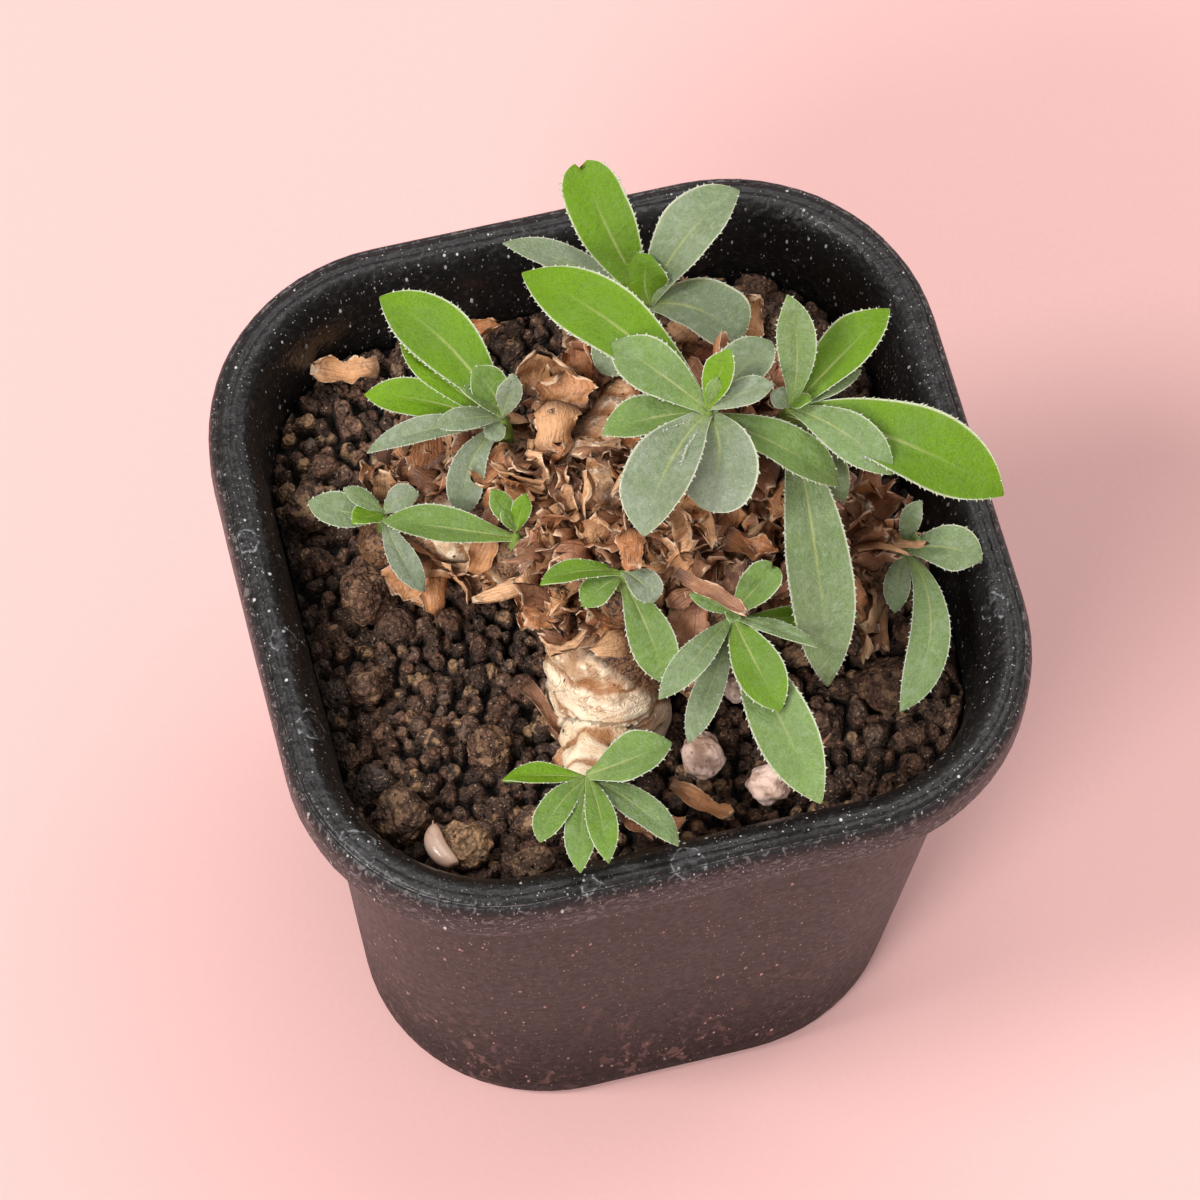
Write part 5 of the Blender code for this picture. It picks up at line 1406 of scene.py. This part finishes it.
# ---- the stage ----
def build_stage():
    """A pale floor, soft studio light from behind and above, and the camera at the photograph's angle."""
    own = looks().stage
    side = np.linspace(-FLOOR_HALF, FLOOR_HALF, FLOOR_CELLS + 1)
    x, y = np.meshgrid(side, side)
    points = np.stack([x, y, 0 * x - 0.02], axis=-1)
    put_mesh("stage_floor", points, grid_faces(FLOOR_CELLS + 1), floor_paint())
    for name, (place, size, hue) in LIGHTS.items():
        lamp = bpy.data.lights.new(f"{name} light", "AREA")
        lamp.shape = "DISK"
        lamp.size = size
        lamp.energy = getattr(own, name)
        lamp.color = hue
        item = bpy.data.objects.new(f"{name} light", lamp)
        item.location = place
        item.rotation_euler = (Vector(LIT_POINT) - Vector(place)).to_track_quat("-Z", "Y").to_euler()
        bpy.context.scene.collection.objects.link(item)
    world = bpy.data.worlds.new("studio")
    world.use_nodes = True
    back = world.node_tree.nodes["Background"]
    back.inputs["Color"].default_value = (*own.air_colour, 1.0)
    back.inputs["Strength"].default_value = own.ambient
    bpy.context.scene.world = world
    bpy.context.scene.view_settings.view_transform = "Standard"
    place_camera()


def place_camera():
    """The camera: turned by azimuth, elevation and roll about a point that is shifted in its own picture."""
    right, ahead = level(VIEW_AZIMUTH)
    back, up = turned(-ahead, np.array([0.0, 0.0, 1.0]), math.radians(VIEW_ELEVATION))
    right, up = turned(right, up, math.radians(VIEW_ROLL))
    target = VIEW_SHIFT[0] * right + VIEW_SHIFT[1] * up + (0, 0, VIEW_HEIGHT)
    lens = bpy.data.cameras.new("camera")
    lens.sensor_width = SENSOR
    lens.lens = SENSOR * VIEW_FOCUS / IMAGE_SIDE
    lens.clip_start = 0.01
    lens.clip_end = 50.0
    camera = bpy.data.objects.new("camera", lens)
    place = (target + back * VIEW_DISTANCE) * MM
    camera.matrix_world = Matrix(list(zip((*right, 0), (*up, 0), (*back, 0), (*place, 1))))
    bpy.context.scene.collection.objects.link(camera)
    bpy.context.scene.camera = camera


# ---- settings ----
def colour(name, thing, default):
    """A colour setting."""
    return FloatVectorProperty(name=name, description=f"Colour of {thing}", subtype="COLOR", size=3, min=0, max=1,
                               default=default)


def amount(name, description, default, low, high):
    """A setting that is a plain number, or a length in the script's own millimetres."""
    return FloatProperty(name=name, description=description, default=default, min=low, max=high)


def power(name, place, default):
    """A light's power."""
    return FloatProperty(name=name, description=f"Power of the light from {place}", subtype="POWER", unit="POWER",
                         default=default, min=0)


def whole(name, description, default, low, high):
    """A setting that counts."""
    return IntProperty(name=name, description=description, default=default, min=low, max=high)


class OthonnaPot(bpy.types.PropertyGroup):
    """The pot's finish."""

    colour: colour("Plastic", "the moulded plastic", (0.0095, 0.0088, 0.0088))
    wall_colour: colour("Wall", "the dull outer wall", (0.0115, 0.0066, 0.0056))
    speck_colour: colour("Specks", "the pale specks", (0.66, 0.62, 0.60))
    wall_speck_colour: colour("Wall specks", "the specks on the outer wall", (0.56, 0.36, 0.31))
    ring_colour: colour("Water rings", "dried water", (0.30, 0.32, 0.34))
    dust_colour: colour("Dust", "dust low on the wall", (0.20, 0.11, 0.095))
    # the scuffs on the outer band, and the painted highlight along the groove's lips
    scuff_and_highlight_colour: colour("Scuffs", "scuffs on the edges", (0.17, 0.145, 0.14))
    speck_pitch: amount("Speck spacing", "Distance between specks, in millimetres", 1.35, 0.4, 8.0)


class OthonnaSoil(bpy.types.PropertyGroup):
    """The soil's grains."""

    colour: colour("Grit", "most grains", (0.108, 0.058, 0.037))
    red_colour: colour("Red grit", "redder grains", (0.150, 0.070, 0.041))
    grey_colour: colour("Grey grit", "grey grains", (0.112, 0.082, 0.066))
    light_colour: colour("Tan grit", "tan grains", (0.40, 0.235, 0.125))
    # pale crumbs, partly painted glints
    crumb_and_glint_colour: colour("Crumbs", "the pale points", (0.50, 0.33, 0.22))
    small_pitch: amount("Small grains", "Distance between small grains, in millimetres", 2.2, 1.5, 6.0)
    large_pitch: amount("Large grains", "Distance between large grains, in millimetres", 3.4, 2.5, 9.0)
    cells: whole("Fineness", "Points along each side of the soil's top", 300, 40, 310)


class OthonnaBark(bpy.types.PropertyGroup):
    """The caudex's bark."""

    colour: colour("Bark", "clean bark", (1.0, 0.83, 0.61))
    stain_colour: colour("Stain", "stained bark", (0.76, 0.47, 0.24))
    crease_shade_and_fibre_colour: colour("Creases", "the folds", (0.38, 0.16, 0.055))
    # orange brown for the fibres high up and the cracks, and for the painted shade in the fold creases
    pore_colour: colour("Pores", "pores and dark fibres", (0.05, 0.028, 0.018))
    hub_colour: colour("Old skin", "the bark between the branches", (0.84, 0.65, 0.49))
    # the painted shade on the bark under the dead leaves
    under_leaves_shade_colour: colour("Under leaves", "bark under dead leaves", (0.26, 0.13, 0.06))
    mesh_size: FloatProperty(name="Mesh size", description="Size of the bark's small faces", subtype="DISTANCE",
                             unit="LENGTH", default=0.00045, min=0.0003, max=0.002)
    fold_pitch: amount("Fold spacing", "Distance between folds, in millimetres", 3.9, 1.0, 12.0)
    fold_depth: amount("Fold depth", "Depth of the folds, in millimetres", 1.0, 0.0, 2.0)


class OthonnaDead(bpy.types.PropertyGroup):
    """The dead leaves."""

    colour: colour("Brown", "most dead leaves", (0.44, 0.19, 0.09))
    dark_colour: colour("Dark", "the darkest", (0.13, 0.055, 0.030))
    grey_colour: colour("Grey", "weathered ones", (0.31, 0.155, 0.09))
    red_colour: colour("Red", "reddish ones", (0.50, 0.205, 0.080))
    tan_colour: colour("Tan", "tan ones", (0.64, 0.335, 0.155))
    pale_colour: colour("Pale", "the palest", (0.73, 0.44, 0.245))
    # pale torn edges, partly a painted highlight
    rim_and_highlight_colour: colour("Edges", "torn edges", (0.86, 0.62, 0.42))
    petals: whole("Petals", "How many broad dead leaves", 270, 20, 700)
    shreds: whole("Shreds", "How many narrow dead leaves", 400, 20, 1200)
    size: amount("Size", "Size of the dead leaves, as a share", 1.06, 0.3, 2.0)


class OthonnaLeaves(bpy.types.PropertyGroup):
    """The living leaves."""

    young_colour: colour("Young", "young leaves", (0.146, 0.288, 0.003))
    old_colour: colour("Glaucous", "glaucous leaves", (0.232, 0.274, 0.190))
    rib_colour: colour("Midrib", "the midrib", (0.42, 0.45, 0.17))
    edge_colour: colour("Margin", "the margin and its teeth", (0.74, 0.80, 0.58))
    down_colour: colour("Down", "the woolly down", (0.45, 0.51, 0.40))
    scar_colour: colour("Scar", "the dry scar", (0.62, 0.50, 0.30))
    down: amount("Down", "How velvety the leaves look", 0.5, 0.0, 1.0)
    glow: amount("Glow", "How much light comes through", 0.25, 0.0, 1.0)
    thickness: amount("Half thickness", "Half the blade's thickness, in millimetres", 0.30, 0.05, 1.0)
    tooth: amount("Tooth", "Length of a tooth, in millimetres", 0.32, 0.0, 2.0)
    tooth_pitch: amount("Tooth spacing", "Distance between teeth, in millimetres", 0.85, 0.5, 6.0)
    rows: whole("Rows", "Rings along a blade", 46, 8, 200)
    around: whole("Around", "Points round a blade", 28, 8, 64)


class OthonnaStones(bpy.types.PropertyGroup):
    """The pumice stones and the husk."""

    colour: colour("Pumice", "the pumice", (0.90, 0.66, 0.56))
    stain_colour: colour("Stain", "stained places", (0.50, 0.30, 0.20))
    # the painted shade in the pumice's pits and hollows, and the browner patches on the husk
    pit_shade_and_patch_colour: colour("Pits", "pits", (0.34, 0.20, 0.14))
    husk_colour: colour("Husk", "the husk", (0.60, 0.42, 0.32))


class OthonnaStage(bpy.types.PropertyGroup):
    """The floor and the lights."""

    floor_colour: colour("Floor", "the pale floor", (0.81, 0.495, 0.474))
    air_colour: colour("Air", "the even light", (1.0, 0.93, 0.92))
    key: power("Key light", "behind", 39.0)
    top: power("Top light", "above", 6.0)
    front: power("Front light", "the front", 14.0)
    right: power("Right light", "the right", 3.0)
    ambient: amount("Ambient", "Strength of the even light", 0.50, 0.0, 10.0)


class OthonnaLooks(bpy.types.PropertyGroup):
    """All of the settings."""

    pot: PointerProperty(type=OthonnaPot)
    soil: PointerProperty(type=OthonnaSoil)
    bark: PointerProperty(type=OthonnaBark)
    dead: PointerProperty(type=OthonnaDead)
    leaves: PointerProperty(type=OthonnaLeaves)
    stones: PointerProperty(type=OthonnaStones)
    stage: PointerProperty(type=OthonnaStage)


# ---- operators and panel ----
class OTHONNA_OT_pot(bpy.types.Operator):
    """Build the pot"""

    bl_idname = "othonna.pot"
    bl_label = "Pot"

    def execute(self, context):
        build_pot()
        return {"FINISHED"}


class OTHONNA_OT_soil(bpy.types.Operator):
    """Build the soil's bed, grit and stones"""

    bl_idname = "othonna.soil"
    bl_label = "Soil"

    def execute(self, context):
        build_soil()
        return {"FINISHED"}


class OTHONNA_OT_caudex(bpy.types.Operator):
    """Build the caudex and its bark"""

    bl_idname = "othonna.caudex"
    bl_label = "Caudex"

    def execute(self, context):
        build_caudex()
        return {"FINISHED"}


class OTHONNA_OT_dead_leaves(bpy.types.Operator):
    """Build the mantle of dead leaves"""

    bl_idname = "othonna.dead_leaves"
    bl_label = "Dead leaves"

    def execute(self, context):
        build_dead_leaves()
        return {"FINISHED"}


class OTHONNA_OT_leaves(bpy.types.Operator):
    """Build the ten leafy stems"""

    bl_idname = "othonna.leaves"
    bl_label = "Leaves"

    def execute(self, context):
        build_leaves()
        return {"FINISHED"}


class OTHONNA_OT_loose(bpy.types.Operator):
    """Build the pumice stones, the husk and the fallen leaves"""

    bl_idname = "othonna.loose"
    bl_label = "Loose pieces"

    def execute(self, context):
        build_pumice()
        build_husk()
        build_fallen_leaves()
        return {"FINISHED"}


class OTHONNA_OT_stage(bpy.types.Operator):
    """Lay the floor and set the lights and the camera"""

    bl_idname = "othonna.stage"
    bl_label = "Stage"

    def execute(self, context):
        build_stage()
        return {"FINISHED"}


OPERATORS = (OTHONNA_OT_stage, OTHONNA_OT_pot, OTHONNA_OT_soil, OTHONNA_OT_caudex, OTHONNA_OT_dead_leaves,
             OTHONNA_OT_leaves, OTHONNA_OT_loose)


class OTHONNA_PT_panel(bpy.types.Panel):
    """Buttons and settings of the potted othonna"""

    bl_idname = "OTHONNA_PT_panel"
    bl_label = "Potted Othonna"
    bl_space_type = "VIEW_3D"
    bl_region_type = "UI"
    bl_category = "Othonna"

    def draw(self, context):
        for operator in OPERATORS:
            self.layout.operator(operator.bl_idname)
        for part in OthonnaLooks.__annotations__:
            box = self.layout.box()
            box.label(text=part.title())
            group = getattr(context.scene.othonna, part)
            for key in group.__annotations__:
                box.prop(group, key)


CLASSES = (OthonnaPot, OthonnaSoil, OthonnaBark, OthonnaDead, OthonnaLeaves, OthonnaStones, OthonnaStage,
           OthonnaLooks, *OPERATORS, OTHONNA_PT_panel)


def register():
    for kind in CLASSES:
        bpy.utils.register_class(kind)
    bpy.types.Scene.othonna = PointerProperty(type=OthonnaLooks)


def unregister():
    del bpy.types.Scene.othonna
    for kind in reversed(CLASSES):
        bpy.utils.unregister_class(kind)


def main():
    register()
    bpy.ops.othonna.stage()
    bpy.ops.othonna.pot()
    bpy.ops.othonna.soil()
    bpy.ops.othonna.caudex()
    bpy.ops.othonna.dead_leaves()
    bpy.ops.othonna.leaves()
    bpy.ops.othonna.loose()


if __name__ == "__main__":
    main()
